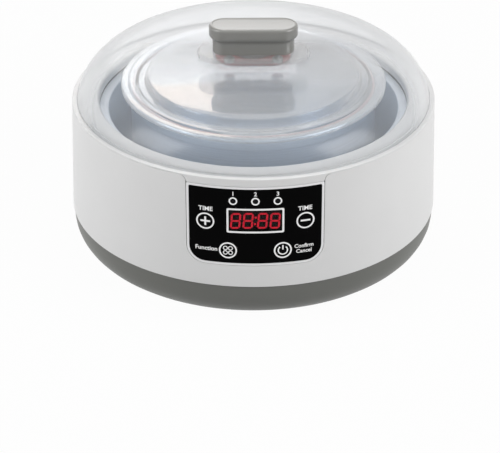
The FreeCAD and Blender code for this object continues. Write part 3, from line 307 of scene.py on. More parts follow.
moulded("key_black", (0.0015, 0.0015, 0.0016), 0.25, grain=0.01, specular=0.02)
moulded("plunger_white", (0.75, 0.75, 0.75), 0.4)
moulded("board_green", (0.008, 0.085, 0.022), 0.45, drift=0.75)
moulded("component_black", (0.008, 0.008, 0.009), 0.5)
moulded("led_red", (0.45, 0.02, 0.012), 0.25)
moulded("transformer_yellow", (0.55, 0.32, 0.025), 0.5, drift=0.85)
moulded("inlet_black", (0.008, 0.008, 0.008), 0.4)
moulded("lead_sleeve", (0.45, 0.42, 0.35), 0.6)
moulded("panel_ink", (0.95, 0.95, 0.95), 0.5, grain=0.01)
lit("display_glow", (1.0, 0.035, 0.07), 1.3)
moulded("lens_dark", (0.004, 0.004, 0.005), 0.2, grain=0.01, specular=0.1)
print("finishes:", len(finishes))

# %% [markdown]
# ## Light and floor
# The machine stands on a pale floor in a bright, soft room. The room itself is a plain world colour that
# lights from all sides. Large lamps at both sides and one overhead give it a direction, and a lamp and a warm
# card behind show as reflections on the lids. The background is white: the camera, and whatever mirrors or
# looks through glass, sees the world and most of the floor at strength 1, while the rest of the floor's light
# is real, so that a contact shadow stays.

# %% Room light
ROOM_LEVEL = 0.3


def seen_directly(make, link):
    """1 for camera, mirror and see-through rays, 0 for the light that falls on things."""
    path = make("ShaderNodeLightPath")
    first = make("ShaderNodeMath")
    first.operation = "MAXIMUM"
    second = make("ShaderNodeMath")
    second.operation = "MAXIMUM"
    link(path.outputs["Is Camera Ray"], first.inputs[0])
    link(path.outputs["Is Glossy Ray"], first.inputs[1])
    link(first.outputs["Value"], second.inputs[0])
    link(path.outputs["Is Transmission Ray"], second.inputs[1])
    return second.outputs["Value"]


world = bpy.data.worlds.new("white_room")
world.use_nodes = True
world.node_tree.nodes.clear()
make = world.node_tree.nodes.new
link = world.node_tree.links.new
room_light = make("ShaderNodeBackground")
room_light.inputs["Color"].default_value = (1, 1, 1, 1)
room_light.inputs["Strength"].default_value = ROOM_LEVEL
backdrop = make("ShaderNodeBackground")
backdrop.inputs["Color"].default_value = (1, 1, 1, 1)
backdrop.inputs["Strength"].default_value = 1.0
choice = make("ShaderNodeMixShader")
link(seen_directly(make, link), choice.inputs["Fac"])
link(room_light.outputs["Background"], choice.inputs[1])
link(backdrop.outputs["Background"], choice.inputs[2])
link(choice.outputs["Shader"], make("ShaderNodeOutputWorld").inputs["Surface"])
bpy.context.scene.world = world


def soft_lamp(name, place, width, height, power, colour=(1, 1, 1)):
    """A soft lamp that looks at the middle of the machine."""
    lamp = bpy.data.lights.new(name, "AREA")
    lamp.shape = "RECTANGLE"
    lamp.size = width
    lamp.size_y = height
    lamp.energy = power
    lamp.color = colour
    holder = bpy.data.objects.new(name, lamp)
    holder.location = place
    holder.rotation_mode = "QUATERNION"
    holder.rotation_quaternion = (seam_centre - Vector(place)).to_track_quat("-Z", "Y")
    bpy.context.scene.collection.objects.link(holder)


def around(azimuth, elevation, distance):
    """A place seen from the lid, by compass angle from the front and height angle in degrees."""
    turn = math.radians(azimuth)
    rise = math.radians(elevation)
    reach = distance * math.cos(rise)
    return seam_centre + Vector((reach * math.sin(turn), -reach * math.cos(turn), distance * math.sin(rise)))


SIDE_LAMP = (1.0, 0.9)
soft_lamp("left_lamp", around(-70, 28, 1.7), *SIDE_LAMP, 16.8)
soft_lamp("right_lamp", around(65, 28, 1.7), *SIDE_LAMP, 18.2)
soft_lamp("top_lamp", around(180, 82, 1.6), 0.9, 0.9, 6.5)
soft_lamp("back_lamp", around(189, 20.5, 1.5), 0.62, 0.42, 1.55)
soft_lamp("warm_card", around(188.5, 31.5, 1.5), 0.33, 0.16, 0.34, (1.0, 0.80, 0.64))
print("lamps:", len(bpy.data.lights))

# %% Floor
FLOOR_HALF = 3.0
FLOOR_GLOW = 0.97

make, link = new_finish("pale_floor")
paper = make("ShaderNodeBsdfDiffuse")
paper.inputs["Color"].default_value = (0.55, 0.55, 0.55, 1)
white = make("ShaderNodeEmission")
white.inputs["Strength"].default_value = 1.0
share = make("ShaderNodeMath")
share.operation = "MULTIPLY"
share.inputs[1].default_value = FLOOR_GLOW
both = make("ShaderNodeMixShader")
link(seen_directly(make, link), share.inputs[0])
link(share.outputs["Value"], both.inputs["Fac"])
link(paper.outputs["BSDF"], both.inputs[1])
link(white.outputs["Emission"], both.inputs[2])
finish_output(make, link, both.outputs["Shader"])

bm = bmesh.new()
bmesh.ops.create_grid(bm, x_segments=1, y_segments=1, size=FLOOR_HALF)
floor_mesh = bpy.data.meshes.new("pale_floor")
bm.to_mesh(floor_mesh)
bm.free()
floor_mesh.materials.append(finishes["pale_floor"])
floor = bpy.data.objects.new("pale_floor", floor_mesh)
bpy.context.scene.collection.objects.link(floor)

# %% [markdown]
# ## Turned pieces
# Almost everything on this machine is round. The quickest way to a round wall is a profile of a few points,
# rounded at its corners with a vertex bevel and spun about the vertical axis. The profile is a closed line,
# so the piece comes out with a real wall thickness, inside and out.

# %% Helpers for turned pieces
SPIN_STEPS = 192
CORNER_STEPS = 8
SHARP_ANGLE = math.radians(32)


def round_corner(bm, vertex, radius, steps=CORNER_STEPS):
    """Replace a corner of a line with an arc of the given radius."""
    arms = [(edge.other_vert(vertex).co - vertex.co).normalized() for edge in vertex.link_edges]
    opening = arms[0].angle(arms[1])
    bmesh.ops.bevel(bm, geom=[vertex], offset=radius / math.tan(opening / 2), offset_type="OFFSET",
                    segments=steps, profile=0.5, affect="VERTICES", material=-1)


def draw_line(bm, corners, closed=True, steps=CORNER_STEPS):
    """A line in the XZ plane through (across, up) or (across, up, rounding) corners in millimetres."""
    points = [bm.verts.new((corner[0] * MM, 0, corner[1] * MM)) for corner in corners]
    for start, end in zip(points, points[1:]):
        bm.edges.new((start, end))
    if closed:
        bm.edges.new((points[-1], points[0]))
    for point, corner in zip(points, corners):
        if len(corner) == 3:
            round_corner(bm, point, corner[2] * MM, steps)


def spin_up(bm, steps=SPIN_STEPS):
    """Spin everything in the mesh once round the vertical axis and close it."""
    bmesh.ops.spin(bm, geom=bm.verts[:] + bm.edges[:], cent=(0, 0, 0), axis=(0, 0, 1), dvec=(0, 0, 0),
                   angle=math.tau, steps=steps, use_merge=True)
    bmesh.ops.remove_doubles(bm, verts=bm.verts[:], dist=0.0005 * MM)
    bmesh.ops.recalc_face_normals(bm, faces=bm.faces[:])


def turned(corners, closed=True, steps=SPIN_STEPS):
    bm = bmesh.new()
    draw_line(bm, corners, closed)
    spin_up(bm, steps)
    return bm


def crown(top, edge_radius, edge_level, steps=12):
    """Corners along a shallow arc, from just beside the axis out to the edge of a domed top."""
    sag = top - edge_level
    return [(edge_radius * step / steps, top - sag * (step / steps) ** 2) for step in range(steps)]


def loose_object(name, bm):
    mesh = bpy.data.meshes.new(name)
    bm.to_mesh(mesh)
    bm.free()
    thing = bpy.data.objects.new(name, mesh)
    bpy.context.scene.collection.objects.link(thing)
    return thing


def finish_piece(name, bm, body, slot, replaced=(), finish=None):
    """Turn a bmesh into a shaded piece that rides on a body and stands for some solids."""
    piece = loose_object(name, bm)
    piece.data.shade_smooth()
    piece.data.set_sharp_from_angle(angle=SHARP_ANGLE)
    piece.data.materials.append(finishes[finish or slot])
    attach(piece, body)
    if replaced:
        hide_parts(*replaced)
    print(name, len(piece.data.polygons), "faces")


def cut_away(bm, tool):
    """Cut one mesh out of another with an exact Boolean."""
    target = loose_object("boolean_target", bm)
    helper = loose_object("boolean_helper", tool)
    boolean = target.modifiers.new("boolean", "BOOLEAN")
    boolean.operation = "DIFFERENCE"
    boolean.solver = "EXACT"
    boolean.object = helper
    bpy.context.view_layer.update()
    evaluated = target.evaluated_get(bpy.context.evaluated_depsgraph_get())
    cut_mesh = bpy.data.meshes.new_from_object(evaluated)
    result = bmesh.new()
    result.from_mesh(cut_mesh)
    for thing in (target, helper):
        mesh = thing.data
        bpy.data.objects.remove(thing)
        bpy.data.meshes.remove(mesh)
    bpy.data.meshes.remove(cut_mesh)
    return result


# %% [markdown]
# ## The grey base
# The base is a shallow bowl with a big round corner, so that the machine seems to float. Its upper rim steps
# in to carry the white wall. Screw sinks and slots are cut from below as in the solid.

# %% Base bowl
def upright_rod(x, y, radius, low, high, steps=40):
    bm = bmesh.new()
    bmesh.ops.create_cone(bm, cap_ends=True, segments=steps, radius1=radius * MM, radius2=radius * MM,
                          depth=(high - low) * MM,
                          matrix=Matrix.Translation((x * MM, y * MM, (low + high) / 2 * MM)))
    return bm


def gather(parts):
    """Put several meshes into one."""
    whole = bmesh.new()
    for part in parts:
        mesh = bpy.data.meshes.new("gathered")
        part.to_mesh(mesh)
        part.free()
        whole.from_mesh(mesh)
        bpy.data.meshes.remove(mesh)
    return whole


def block(left, right, front, back, low, high):
    bm = bmesh.new()
    size = Matrix.Diagonal(((right - left) * MM, (back - front) * MM, (high - low) * MM, 1))
    middle = Vector((left + right, front + back, low + high)) * (MM / 2)
    bmesh.ops.create_cube(bm, size=1, matrix=Matrix.Translation(middle) @ size)
    return bm


def on_circle(radius, degrees):
    return radius * math.cos(math.radians(degrees)), radius * math.sin(math.radians(degrees))


bowl = turned([
    (0, 2), (98.3, 2, 17), (99.5, 24, 0.35), (97.49, 24), (97.49, 27), (95.69, 27), (95.69, 22), (97.3, 22),
    (96.1, 4.2, 14.8), (0, 4.2),
])
SCREW_CIRCLE = 60
SINK_RADIUS = 3.2
SLOT_OFFSET = 40
SLOT_HALF_LENGTH = 9
SLOT_HALF_WIDTH = 1.2
SLOT_PITCH = 8
cuts = [upright_rod(*on_circle(SCREW_CIRCLE, angle), SINK_RADIUS, 1, 5.2) for angle in (0, 90, 180, 270)]
for slot_x in (-SLOT_OFFSET, SLOT_OFFSET):
    for slot_y in (-SLOT_PITCH, 0, SLOT_PITCH):
        cuts.append(block(slot_x - SLOT_HALF_LENGTH, slot_x + SLOT_HALF_LENGTH,
                          slot_y - SLOT_HALF_WIDTH, slot_y + SLOT_HALF_WIDTH, 1, 5))
finish_piece("base_bowl", cut_away(bowl, gather(cuts)), "housing", "grey_base", ["base_tray"])

# %% [markdown]
# ## The white wall
# The wall is a ring that leans in by less than two millimetres on its way up. The notch for the panel is cut
# with a Boolean, because its outline has two kinds of rounding and has to go through a curved wall. The hole
# for the mains inlet at the back is cut in the same way.

# %% White wall with its notch
WALL_LOW = 24.25
WALL_HIGH = 85.75
WALL_RADIUS = 100.0
WALL_TOP_RADIUS = 98.2
WALL_DEPTH = 2.2
NOTCH_HALF = 35.45
NOTCH_LOW = 36.8
NOTCH_CORNER = 9.55
NOTCH_FLARE = 3.2
INLET_LEVEL = 36.0
INLET_HALF_WIDTH = 11.9
INLET_HALF_HEIGHT = 6.4
INLET_CORNER = 5
EDGE_BREAK = 0.35
BOX_MARGIN = 0.03
FRONT_SPAN = (-120, -40)
BACK_SPAN = (60, 120)


def wall_radius(level):
    """The wall's outer radius at a level, both in millimetres."""
    return WALL_RADIUS - (WALL_RADIUS - WALL_TOP_RADIUS) * (level - WALL_LOW) / (WALL_HIGH - WALL_LOW)


def pull_out(bm, path):
    """Pull the flat faces of a mesh along a path into a closed solid."""
    pulled = bmesh.ops.extrude_face_region(bm, geom=bm.faces[:], use_keep_orig=True)
    moved = [item for item in pulled["geom"] if isinstance(item, bmesh.types.BMVert)]
    bmesh.ops.translate(bm, verts=moved, vec=path)
    bmesh.ops.recalc_face_normals(bm, faces=bm.faces[:])


def push_through(bm, front, back):
    """Fill a flat outline and pull it out along Y into a solid."""
    bmesh.ops.triangle_fill(bm, use_beauty=True, use_dissolve=True, edges=bm.edges[:], normal=(0, -1, 0))
    for vertex in bm.verts:
        vertex.co.y = front * MM
    pull_out(bm, (0, (back - front) * MM, 0))
    return bm


wall = turned([
    (WALL_RADIUS - BOX_MARGIN, WALL_LOW, EDGE_BREAK), (WALL_TOP_RADIUS, WALL_HIGH, EDGE_BREAK),
    (WALL_TOP_RADIUS - WALL_DEPTH, WALL_HIGH), (WALL_RADIUS - WALL_DEPTH, WALL_LOW),
])
notch = bmesh.new()
flare_end = NOTCH_HALF + 2 * NOTCH_FLARE
at_wall_top = WALL_HIGH + 0.01
above_wall = WALL_HIGH + 3
draw_line(notch, [
    (-flare_end, above_wall), (-flare_end, at_wall_top), (-NOTCH_HALF, at_wall_top, NOTCH_FLARE),
    (-NOTCH_HALF, NOTCH_LOW, NOTCH_CORNER), (NOTCH_HALF, NOTCH_LOW, NOTCH_CORNER),
    (NOTCH_HALF, at_wall_top, NOTCH_FLARE), (flare_end, at_wall_top), (flare_end, above_wall),
])
wall = cut_away(wall, push_through(notch, *FRONT_SPAN))
inlet_hole = bmesh.new()
draw_line(inlet_hole, [
    (side * INLET_HALF_WIDTH, INLET_LEVEL + up * INLET_HALF_HEIGHT, INLET_CORNER)
    for side, up in ((-1, -1), (1, -1), (1, 1), (-1, 1))
])
wall = cut_away(wall, push_through(inlet_hole, *BACK_SPAN))
finish_piece("white_wall", wall, "housing", "white_plastic", ["housing_shell"])

# %% [markdown]
# ## The top ring
# A white ring closes the wall at the top. It has a shallow rebate where the dome stands, a rounded lip round
# the well, and a tongue at the front that fills the notch above the panel.

# %% Top ring and its tongue
SLICE = 1.2


def wrap_on_wall(bm, proud=0.0):
    """Lay a flat front view onto the leaning round wall, sliced finely enough to follow it."""
    lows = [vertex.co.x for vertex in bm.verts]
    count = math.ceil((max(lows) - min(lows)) / (SLICE * MM))
    for step in range(1, count):
        place = min(lows) + (max(lows) - min(lows)) * step / count
        bmesh.ops.bisect_plane(bm, geom=bm.verts[:] + bm.edges[:] + bm.faces[:], dist=1e-7,
                               plane_co=(place, 0, 0), plane_no=(1, 0, 0))
    for vertex in bm.verts:
        radius = (wall_radius(vertex.co.z / MM) + proud) * MM
        vertex.co.y = -math.sqrt(radius ** 2 - vertex.co.x ** 2)


def lay_on_wall(bm, thickness, proud=0.0):
    """Bend flat faces round the wall and give them a thickness towards the inside."""
    wrap_on_wall(bm, proud)
    outside = bm.faces[:]
    inside = bmesh.ops.extrude_face_region(bm, geom=outside, use_keep_orig=True)
    for item in inside["geom"]:
        if isinstance(item, bmesh.types.BMVert):
            radius = math.hypot(item.co.x, item.co.y)
            shrink = (radius - thickness * MM) / radius
            item.co.x *= shrink
            item.co.y *= shrink
    bmesh.ops.recalc_face_normals(bm, faces=bm.faces[:])
    return bm


def wall_plate(bm, thickness, proud=0.0):
    """A plate that follows the wall, from the outlines drawn in a flat mesh."""
    bmesh.ops.triangle_fill(bm, use_beauty=True, use_dissolve=False, edges=bm.edges[:], normal=(0, -1, 0))
    bmesh.ops.dissolve_limit(bm, angle_limit=0.001, verts=bm.verts[:], edges=bm.edges[:])
    return lay_on_wall(bm, thickness, proud)


ring = turned([
    (83.5, 81.9), (83.5, 86.6, 1.5), (92.8, 86.6, 0.2), (92.8, 85.7), (95.6, 85.7), (95.6, 86.6, 0.2),
    (98.2, 86.6, 0.5), (98.2, 86.0, 0.15), (95.8, 86.0), (95.8, 81.75), (94.0, 81.75), (94.0, 84.2),
    (85.5, 84.2), (85.5, 81.9),
])
finish_piece("top_ring", ring, "housing", "white_plastic", ["top_bezel"])

TONGUE_HALF = NOTCH_HALF - 0.25
TONGUE_LOW = 82.4
TONGUE_FLARE = NOTCH_FLARE + 0.25
TONGUE_SHOULDER = 86.02
TONGUE_TOP = 86.2
tongue = bmesh.new()
draw_line(tongue, [
    (-TONGUE_HALF, TONGUE_LOW), (TONGUE_HALF, TONGUE_LOW), (TONGUE_HALF, TONGUE_SHOULDER, TONGUE_FLARE),
    (flare_end, TONGUE_SHOULDER), (flare_end, TONGUE_TOP), (-flare_end, TONGUE_TOP),
    (-flare_end, TONGUE_SHOULDER), (-TONGUE_HALF, TONGUE_SHOULDER, TONGUE_FLARE),
])
finish_piece("top_ring_tongue", wall_plate(tongue, WALL_DEPTH), "housing", "white_plastic")

# %% [markdown]
# ## The warm well and the pot
# Between the lip and the inner lid one looks down at bare metal: the aluminium well, and in it the steel pot
# with a rolled rim. Both are turned from closed profiles with their real, thin walls.

# %% Well and pot
well = turned([
    (0, 17.2), (79.3, 17.2, 6), (79.3, 80.0), (91.8, 80.0), (91.8, 80.8), (78.5, 80.8, 0.8),
    (78.5, 18.0, 5.2), (0, 18.0),
])
finish_piece("warm_well", well, "housing", "well_aluminium", ["heating_well"])

pot = turned([
    (0, 18.3), (65.6, 18.3, 19), (66.6, 92.0, 0.5), (69.5, 92.0, 0.6), (69.5, 93.8, 0.6), (65.8, 93.8, 0.6),
    (64.8, 19.1, 18.2), (0, 19.1),
])
finish_piece("steel_pot", pot, "pot", "pot_steel", ["inner_pot"])

# %% [markdown]
# ## The inner lid
# The pot's own lid is clear plastic with a raised, slightly domed middle, a groove round it and a bead that
# sits over the seal. The vent is a red silicone square with a white ring on it.

# %% Inner lid and vent
VENT_Y = 22.0


def oblong_block(width, depth, corner, middle_y, low, high, edge=0.0):
    """A block with round upright corners, and its top edge softened if asked."""
    bm = bmesh.new()
    points = [bm.verts.new(((side * width / 2) * MM, (middle_y + end * depth / 2) * MM, low * MM))
              for side, end in ((-1, -1), (1, -1), (1, 1), (-1, 1))]
    for start, stop in zip(points, points[1:] + points[:1]):
        bm.edges.new((start, stop))
    for point in points:
        round_corner(bm, point, corner * MM, 10)
    bmesh.ops.contextual_create(bm, geom=bm.edges[:])
    pull_out(bm, (0, 0, (high - low) * MM))
    if edge:
        rim = [line for line in bm.edges if all(abs(end.co.z - high * MM) < 1e-7 for end in line.verts)]
        bmesh.ops.bevel(bm, geom=rim, offset=edge * MM, offset_type="OFFSET", segments=4, profile=0.5,
                        affect="EDGES", material=-1)
    return bm


inner_lid = turned([
    *crown(101.5, 57.2, 100.1), (57.2, 100.1, 0.9), (58.8, 95.4, 0.6), (62.0, 95.4, 0.5), (63.4, 96.6, 0.6),
    (66.6, 96.6, 0.6), (68.0, 95.6, 0.5), (71.5, 95.6, 0.9), (71.5, 93.0, 0.3), (69.9, 93.0, 0.3),
    (69.9, 94.0), (64.35, 94.0), (64.35, 88.9), (65.25, 88.9), (65.25, 88.0), (62.75, 88.0), (62.75, 93.8),
    (57.2, 93.8), (55.6, 98.5, 0.9), (0, 99.9),
])
finish_piece("inner_lid_shell", inner_lid, "inner_lid", "clear_lid", ["inner_lid"])

seat = gather([
    oblong_block(41, 34, 12, VENT_Y, 101.0, 102.9, 0.5),
    upright_rod(0, VENT_Y, 5.2, 102.0, 104.1),
    upright_rod(0, VENT_Y, 4.0, 98.0, 101.5),
    upright_rod(0, VENT_Y, 5.0, 97.6, 99.1),
])
finish_piece("vent_square", seat, "inner_lid", "red_silicone", ["vent_seat"])

vent_ring = bmesh.new()
draw_line(vent_ring, [(5.6, 102.95, 0.2), (13, 102.95, 0.2), (13, 104.35, 0.6), (5.6, 104.35, 0.6)])
spin_up(vent_ring, 96)
bmesh.ops.translate(vent_ring, verts=vent_ring.verts[:], vec=(0, VENT_Y * MM, 0))
finish_piece("vent_ring", vent_ring, "vent_plug", "white_vent", ["vent_plug"])

# %% [markdown]
# ## The dome and its handle
# The dome is one turned shell with a broad round shoulder. The handle is an oblong grip on a slimmer neck. An
# oblong is a round shape pulled apart in the middle. So it is turned first, with one strip of faces lying
# across the middle, and when the two halves move apart that strip stretches into the straight sides.

# %% Dome lid
dome = turned([
    (95.5, 85.75, 0.3), (92.0, 107.8, 26), *reversed(crown(110.0, 66.0, 108.9)),
    *crown(108.0, 66.0, 106.9), (90.0, 105.8, 24), (93.3, 85.75, 0.3),
])


def pull_apart(corners, half_gap, steps=96):
    """Turn a shape with one strip of faces across X = 0 and pull its halves apart, so the strip stretches."""
    bm = turned(corners, False, steps)
    half_step = Matrix.Rotation(math.pi / steps, 3, "Z")
    bmesh.ops.rotate(bm, cent=(0, 0, 0), matrix=half_step, verts=bm.verts[:])
    for vertex in bm.verts:
        if abs(vertex.co.x) > 1e-7:
            vertex.co.x += math.copysign(half_gap * MM, vertex.co.x)
    return bm


plinth = pull_apart([(0, 109.6), (11.75, 109.6), (11.75, 112.5, 0.8), (0, 112.5)], 18.25)
finish_piece("dome_lid", dome, "outer_lid", "frosted_lid", ["outer_lid"])
finish_piece("dome_plinth", plinth, "outer_lid", "frosted_lid", finish="plinth_clear")

grip = pull_apart([
    (0, 112.5), (7.1, 112.5, 0.2), (7.1, 119.9, 2.4), (9.0, 121.4, 2.4), (9.0, 127.8, 1.4), (7.4, 127.8, 0.3),
    (7.1, 127.6, 0.3), (0, 127.6),
], 14.85)
finish_piece("grip", grip, "outer_lid", "grey_handle", ["lid_handle"])

# %% [markdown]
# ## The control panel
# The panel is a black plate that follows the wall, in a pale frame. Its outline and holes are drawn flat,
# filled, sliced into narrow strips and laid onto the wall, so each strip is nearly flat and the gloss runs
# smoothly across.

# %% Black plate, frame and display window
PANEL_HALF = 33.9
PANEL_LOW = 38.35
PANEL_HIGH = 80.85
DISPLAY = (0.0, 63.0, 29.7, 14.3)
KEY_PLACES = {"plus": (-25.6, 61.6), "minus": (25.6, 61.6), "function": (-14.1, 45.6), "power": (14.1, 45.6)}
INDICATORS = ((-11.4, 74.2), (0.0, 74.2), (11.4, 74.2))
KEY_HOLE = 4.85
LENS_HOLE = 1.3
PLATE_DEPTH = 3.2
RIM_DEPTH = 2.1
RIM_OUTER = 1.3
RIM_INNER = 0.1


def panel_outline(grow):
    side = PANEL_HALF + grow
    low = PANEL_LOW - grow
    high = PANEL_HIGH + grow
    return [(-side, low, 8 + grow), (side, low, 8 + grow), (side, high, 0.8), (-side, high, 0.8)]


def box_outline(grow):
    x, z, width, height = DISPLAY
    side = width / 2 + grow
    tall = height / 2 + grow
    corner = max(1.0 + grow, 0.5)
    return [(x - side, z - tall, corner), (x + side, z - tall, corner), (x + side, z + tall, corner),
            (x - side, z + tall, corner)]


def draw_circle(bm, x, z, radius, steps=48):
    facing = Matrix.Translation((x * MM, 0, z * MM)) @ Matrix.Rotation(math.pi / 2, 4, "X")
    bmesh.ops.create_circle(bm, cap_ends=False, radius=radius * MM, segments=steps, matrix=facing)


plate = bmesh.new()
draw_line(plate, panel_outline(0))
draw_line(plate, box_outline(0))
for x, z in KEY_PLACES.values():
    draw_circle(plate, x, z, KEY_HOLE)
for x, z in INDICATORS:
    draw_circle(plate, x, z, LENS_HOLE, 24)
finish_piece("panel_plate", wall_plate(plate, PLATE_DEPTH), "housing", "panel_black", ["panel_overlay"])

trim = bmesh.new()
draw_line(trim, panel_outline(RIM_OUTER))
draw_line(trim, panel_outline(RIM_INNER))
finish_piece("panel_rim", wall_plate(trim, RIM_DEPTH), "housing", "panel_trim", ["panel_frame"])

window = bmesh.new()
draw_line(window, box_outline(-0.1))
finish_piece("display_glass", wall_plate(window, WALL_DEPTH), "housing", "display_smoke", ["display_window"])

# %% [markdown]
# ## What the panel shows
# White ink rings mark the keys and the indicators, and a white line frames the display. The ink is a skin a
# few hundredths of a millimetre thick, drawn flat and laid onto the wall like the plate. The ink of a key
# rides on that key. Behind the smoked glass, four digits of seven bars glow red on
# a dark block.

# %% Ink
INK = 0.05
INK_PROUD = 0.04
INDICATOR_RING = (2.2, 1.45)
KEY_RING = (4.65, 3.85)
PETAL_OFFSET = 1.3
PETAL_RING = (1.25, 0.8)
POWER_ARC = (2.05, 2.7)
POWER_GAP = 76


def ink_piece(name, bm, body):
    finish_piece(name, wall_plate(bm, INK, INK_PROUD), body, "plunger_white", finish="panel_ink")


lines = bmesh.new()
draw_line(lines, box_outline(-0.12))
draw_line(lines, box_outline(-1.1))
ink_piece("display_line", lines, "housing")

for number, (x, z) in enumerate(INDICATORS, start=1):
    lines = bmesh.new()
    for radius in INDICATOR_RING:
        draw_circle(lines, x, z, radius)
    ink_piece(f"indicator_ring_{number}", lines, "housing")

for name, (x, z) in KEY_PLACES.items():
    lines = bmesh.new()
    for radius in KEY_RING:
        draw_circle(lines, x, z, radius, 64)
    ink_piece(f"key_ring_{name}", lines, f"key_{name}")


def bar_outline(x, z, width, height):
    return [(x - width / 2, z - height / 2), (x + width / 2, z - height / 2), (x + width / 2, z + height / 2),
            (x - width / 2, z + height / 2)]


x, z = KEY_PLACES["plus"]
arm = 2.5
thick = 0.5
lines = bmesh.new()
draw_line(lines, [
    (x - arm, z - thick), (x - thick, z - thick), (x - thick, z - arm), (x + thick, z - arm),
    (x + thick, z - thick), (x + arm, z - thick), (x + arm, z + thick), (x + thick, z + thick),
    (x + thick, z + arm), (x - thick, z + arm), (x - thick, z + thick), (x - arm, z + thick),
])
ink_piece("icon_plus", lines, "key_plus")

x, z = KEY_PLACES["minus"]
lines = bmesh.new()
draw_line(lines, bar_outline(x, z, 2 * arm, 2 * thick))
ink_piece("icon_minus", lines, "key_minus")

x, z = KEY_PLACES["function"]
lines = bmesh.new()
for across in (-PETAL_OFFSET, PETAL_OFFSET):
    for up in (-PETAL_OFFSET, PETAL_OFFSET):
        for radius in PETAL_RING:
            draw_circle(lines, x + across, z + up, radius, 24)
ink_piece("icon_function", lines, "key_function")

x, z = KEY_PLACES["power"]
lines = bmesh.new()
draw_line(lines, bar_outline(x, z + 1.6, 0.7, 2.6))
ink_piece("icon_power_bar", lines, "key_power")

arc = bmesh.new()
start = math.radians(90 + POWER_GAP / 2)
sweep = math.radians(360 - POWER_GAP)
ends = [arc.verts.new(((x + radius * math.cos(start)) * MM, 0, (z + radius * math.sin(start)) * MM))
        for radius in POWER_ARC]
arc.edges.new(ends)
bmesh.ops.spin(arc, geom=arc.verts[:] + arc.edges[:], cent=(x * MM, 0, z * MM), axis=(0, -1, 0),
               dvec=(0, 0, 0), angle=sweep, steps=40)
outline_edges = [edge for edge in arc.edges if not edge.is_boundary]
bmesh.ops.delete(arc, geom=arc.faces[:], context="FACES_ONLY")
bmesh.ops.delete(arc, geom=outline_edges, context="EDGES")
ink_piece("icon_power_arc", arc, "key_power")

# %% [markdown]
# ## Words by the keys
# Plain words say what the keys do, and numbers tell the three programs apart. A text object is the easy way
# to letters. It is turned into a mesh while it still lies flat, stood up, brought to size and laid onto the
# wall like the other ink.

# %% Words and numbers
LETTER_WEIGHT = 0.02


def printed_word(name, words, x, z, height):
    """Ink letters of a given capital height, centred at a place on the panel."""
    text = bpy.data.curves.new(name, "FONT")
    text.body = words
    text.align_x = "CENTER"
    text.offset = LETTER_WEIGHT
    holder = bpy.data.objects.new(name, text)
    bpy.context.scene.collection.objects.link(holder)
    bpy.context.view_layer.update()
    flat = bpy.data.meshes.new_from_object(holder.evaluated_get(bpy.context.evaluated_depsgraph_get()))
    letters = bmesh.new()
    letters.from_mesh(flat)
    bpy.data.objects.remove(holder)
    bpy.data.curves.remove(text)
    bpy.data.meshes.remove(flat)
    bmesh.ops.remove_doubles(letters, verts=letters.verts[:], dist=1e-6)
    top = max(vertex.co.y for vertex in letters.verts)
    size = height * MM / top
    bmesh.ops.scale(letters, vec=(size, size, size), verts=letters.verts[:])
    upright = Matrix.Rotation(math.pi / 2, 3, "X")
    bmesh.ops.rotate(letters, cent=(0, 0, 0), matrix=upright, verts=letters.verts[:])
    bmesh.ops.translate(letters, vec=(x * MM, 0, (z - height / 2) * MM), verts=letters.verts[:])
    lay_on_wall(letters, INK, INK_PROUD)
    finish_piece(name, letters, "housing", "plunger_white", finish="panel_ink")


for name, words, x, z, height in (
    ("word_time_left", "TIME", -25.4, 68.8, 2.4), ("word_time_right", "TIME", 25.4, 68.8, 2.4),
    ("word_function", "Function", -25.2, 46.0, 2.3), ("word_confirm", "Confirm", 25.0, 47.2, 2.1),
    ("word_cancel", "Cancel", 25.0, 44.2, 2.1),
):
    printed_word(name, words, x, z, height)
for number, (x, z) in enumerate(INDICATORS, start=1):
    printed_word(f"number_{number}", str(number), x, z + 4.2, 2.3)

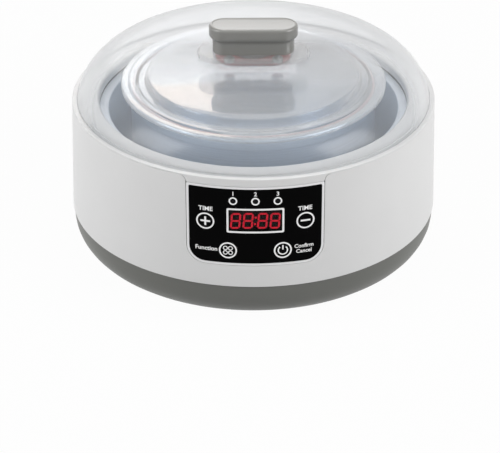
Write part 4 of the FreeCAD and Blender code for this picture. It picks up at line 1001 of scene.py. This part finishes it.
# %% Digits
DIGIT_HEIGHT = 9.2
DIGIT_WIDTH = 5.3
BAR = 1.0
SLANT = 0.08
DIGIT_FACE = -95.5
DIGIT_CENTRES = (-10.1, -3.7, 3.7, 10.1)
DIGIT_LEVEL = 61.3
MODULE_FACE = -93.3
BAR_GAP = 0.25
DIGIT_SKIN = (0.08, 0.02)


def digit_bar(bm, x, z, length, upright):
    """One pointed bar of a digit."""
    reach = length / 2
    tip = BAR / 2
    corners = [(-reach, 0), (-reach + tip, -tip), (reach - tip, -tip), (reach, 0), (reach - tip, tip),
               (-reach + tip, tip)]
    if upright:
        corners = [(-up, across) for across, up in corners]
    draw_line(bm, [(x + across, z + up) for across, up in corners])


digits = bmesh.new()
half_width = DIGIT_WIDTH / 2 - BAR / 2
half_height = DIGIT_HEIGHT / 2 - BAR / 2
for x in DIGIT_CENTRES:
    for up in (-half_height, 0, half_height):
        digit_bar(digits, x, DIGIT_LEVEL + up, 2 * half_width - BAR_GAP, False)
    for across in (-half_width, half_width):
        for up in (-half_height / 2, half_height / 2):
            digit_bar(digits, x + across, DIGIT_LEVEL + up, half_height - BAR_GAP, True)
for up in (-1.9, 1.9):
    draw_circle(digits, 0, DIGIT_LEVEL + up, 0.6, 20)
for vertex in digits.verts:
    vertex.co.x += (vertex.co.z - DIGIT_LEVEL * MM) * SLANT
face_block = block(-14.4, 14.4, DIGIT_FACE, MODULE_FACE, 56.2, 69.8)
finish_piece("display_face", face_block, "housing", "component_black")
push_through(digits, DIGIT_FACE - DIGIT_SKIN[0], DIGIT_FACE + DIGIT_SKIN[1])
finish_piece("display_digits", digits, "housing", "led_red", finish="display_glow")

# %% [markdown]
# ## Everything that stays as it was measured
# Feet, screws, boards, the inlet and the other small solids are right as they are. Each takes the finish of
# its slot in the record.

# %% Dress the solids
slot_of = {part["node"]: part["material_slot"] for part in frame["record"]["subparts"]}
special = {"indicator_lenses": "lens_dark"}
for name, node in nodes.items():
    node.data.materials.clear()
    node.data.materials.append(finishes[special.get(name, slot_of[name])])
print("dressed", len(nodes), "solids")
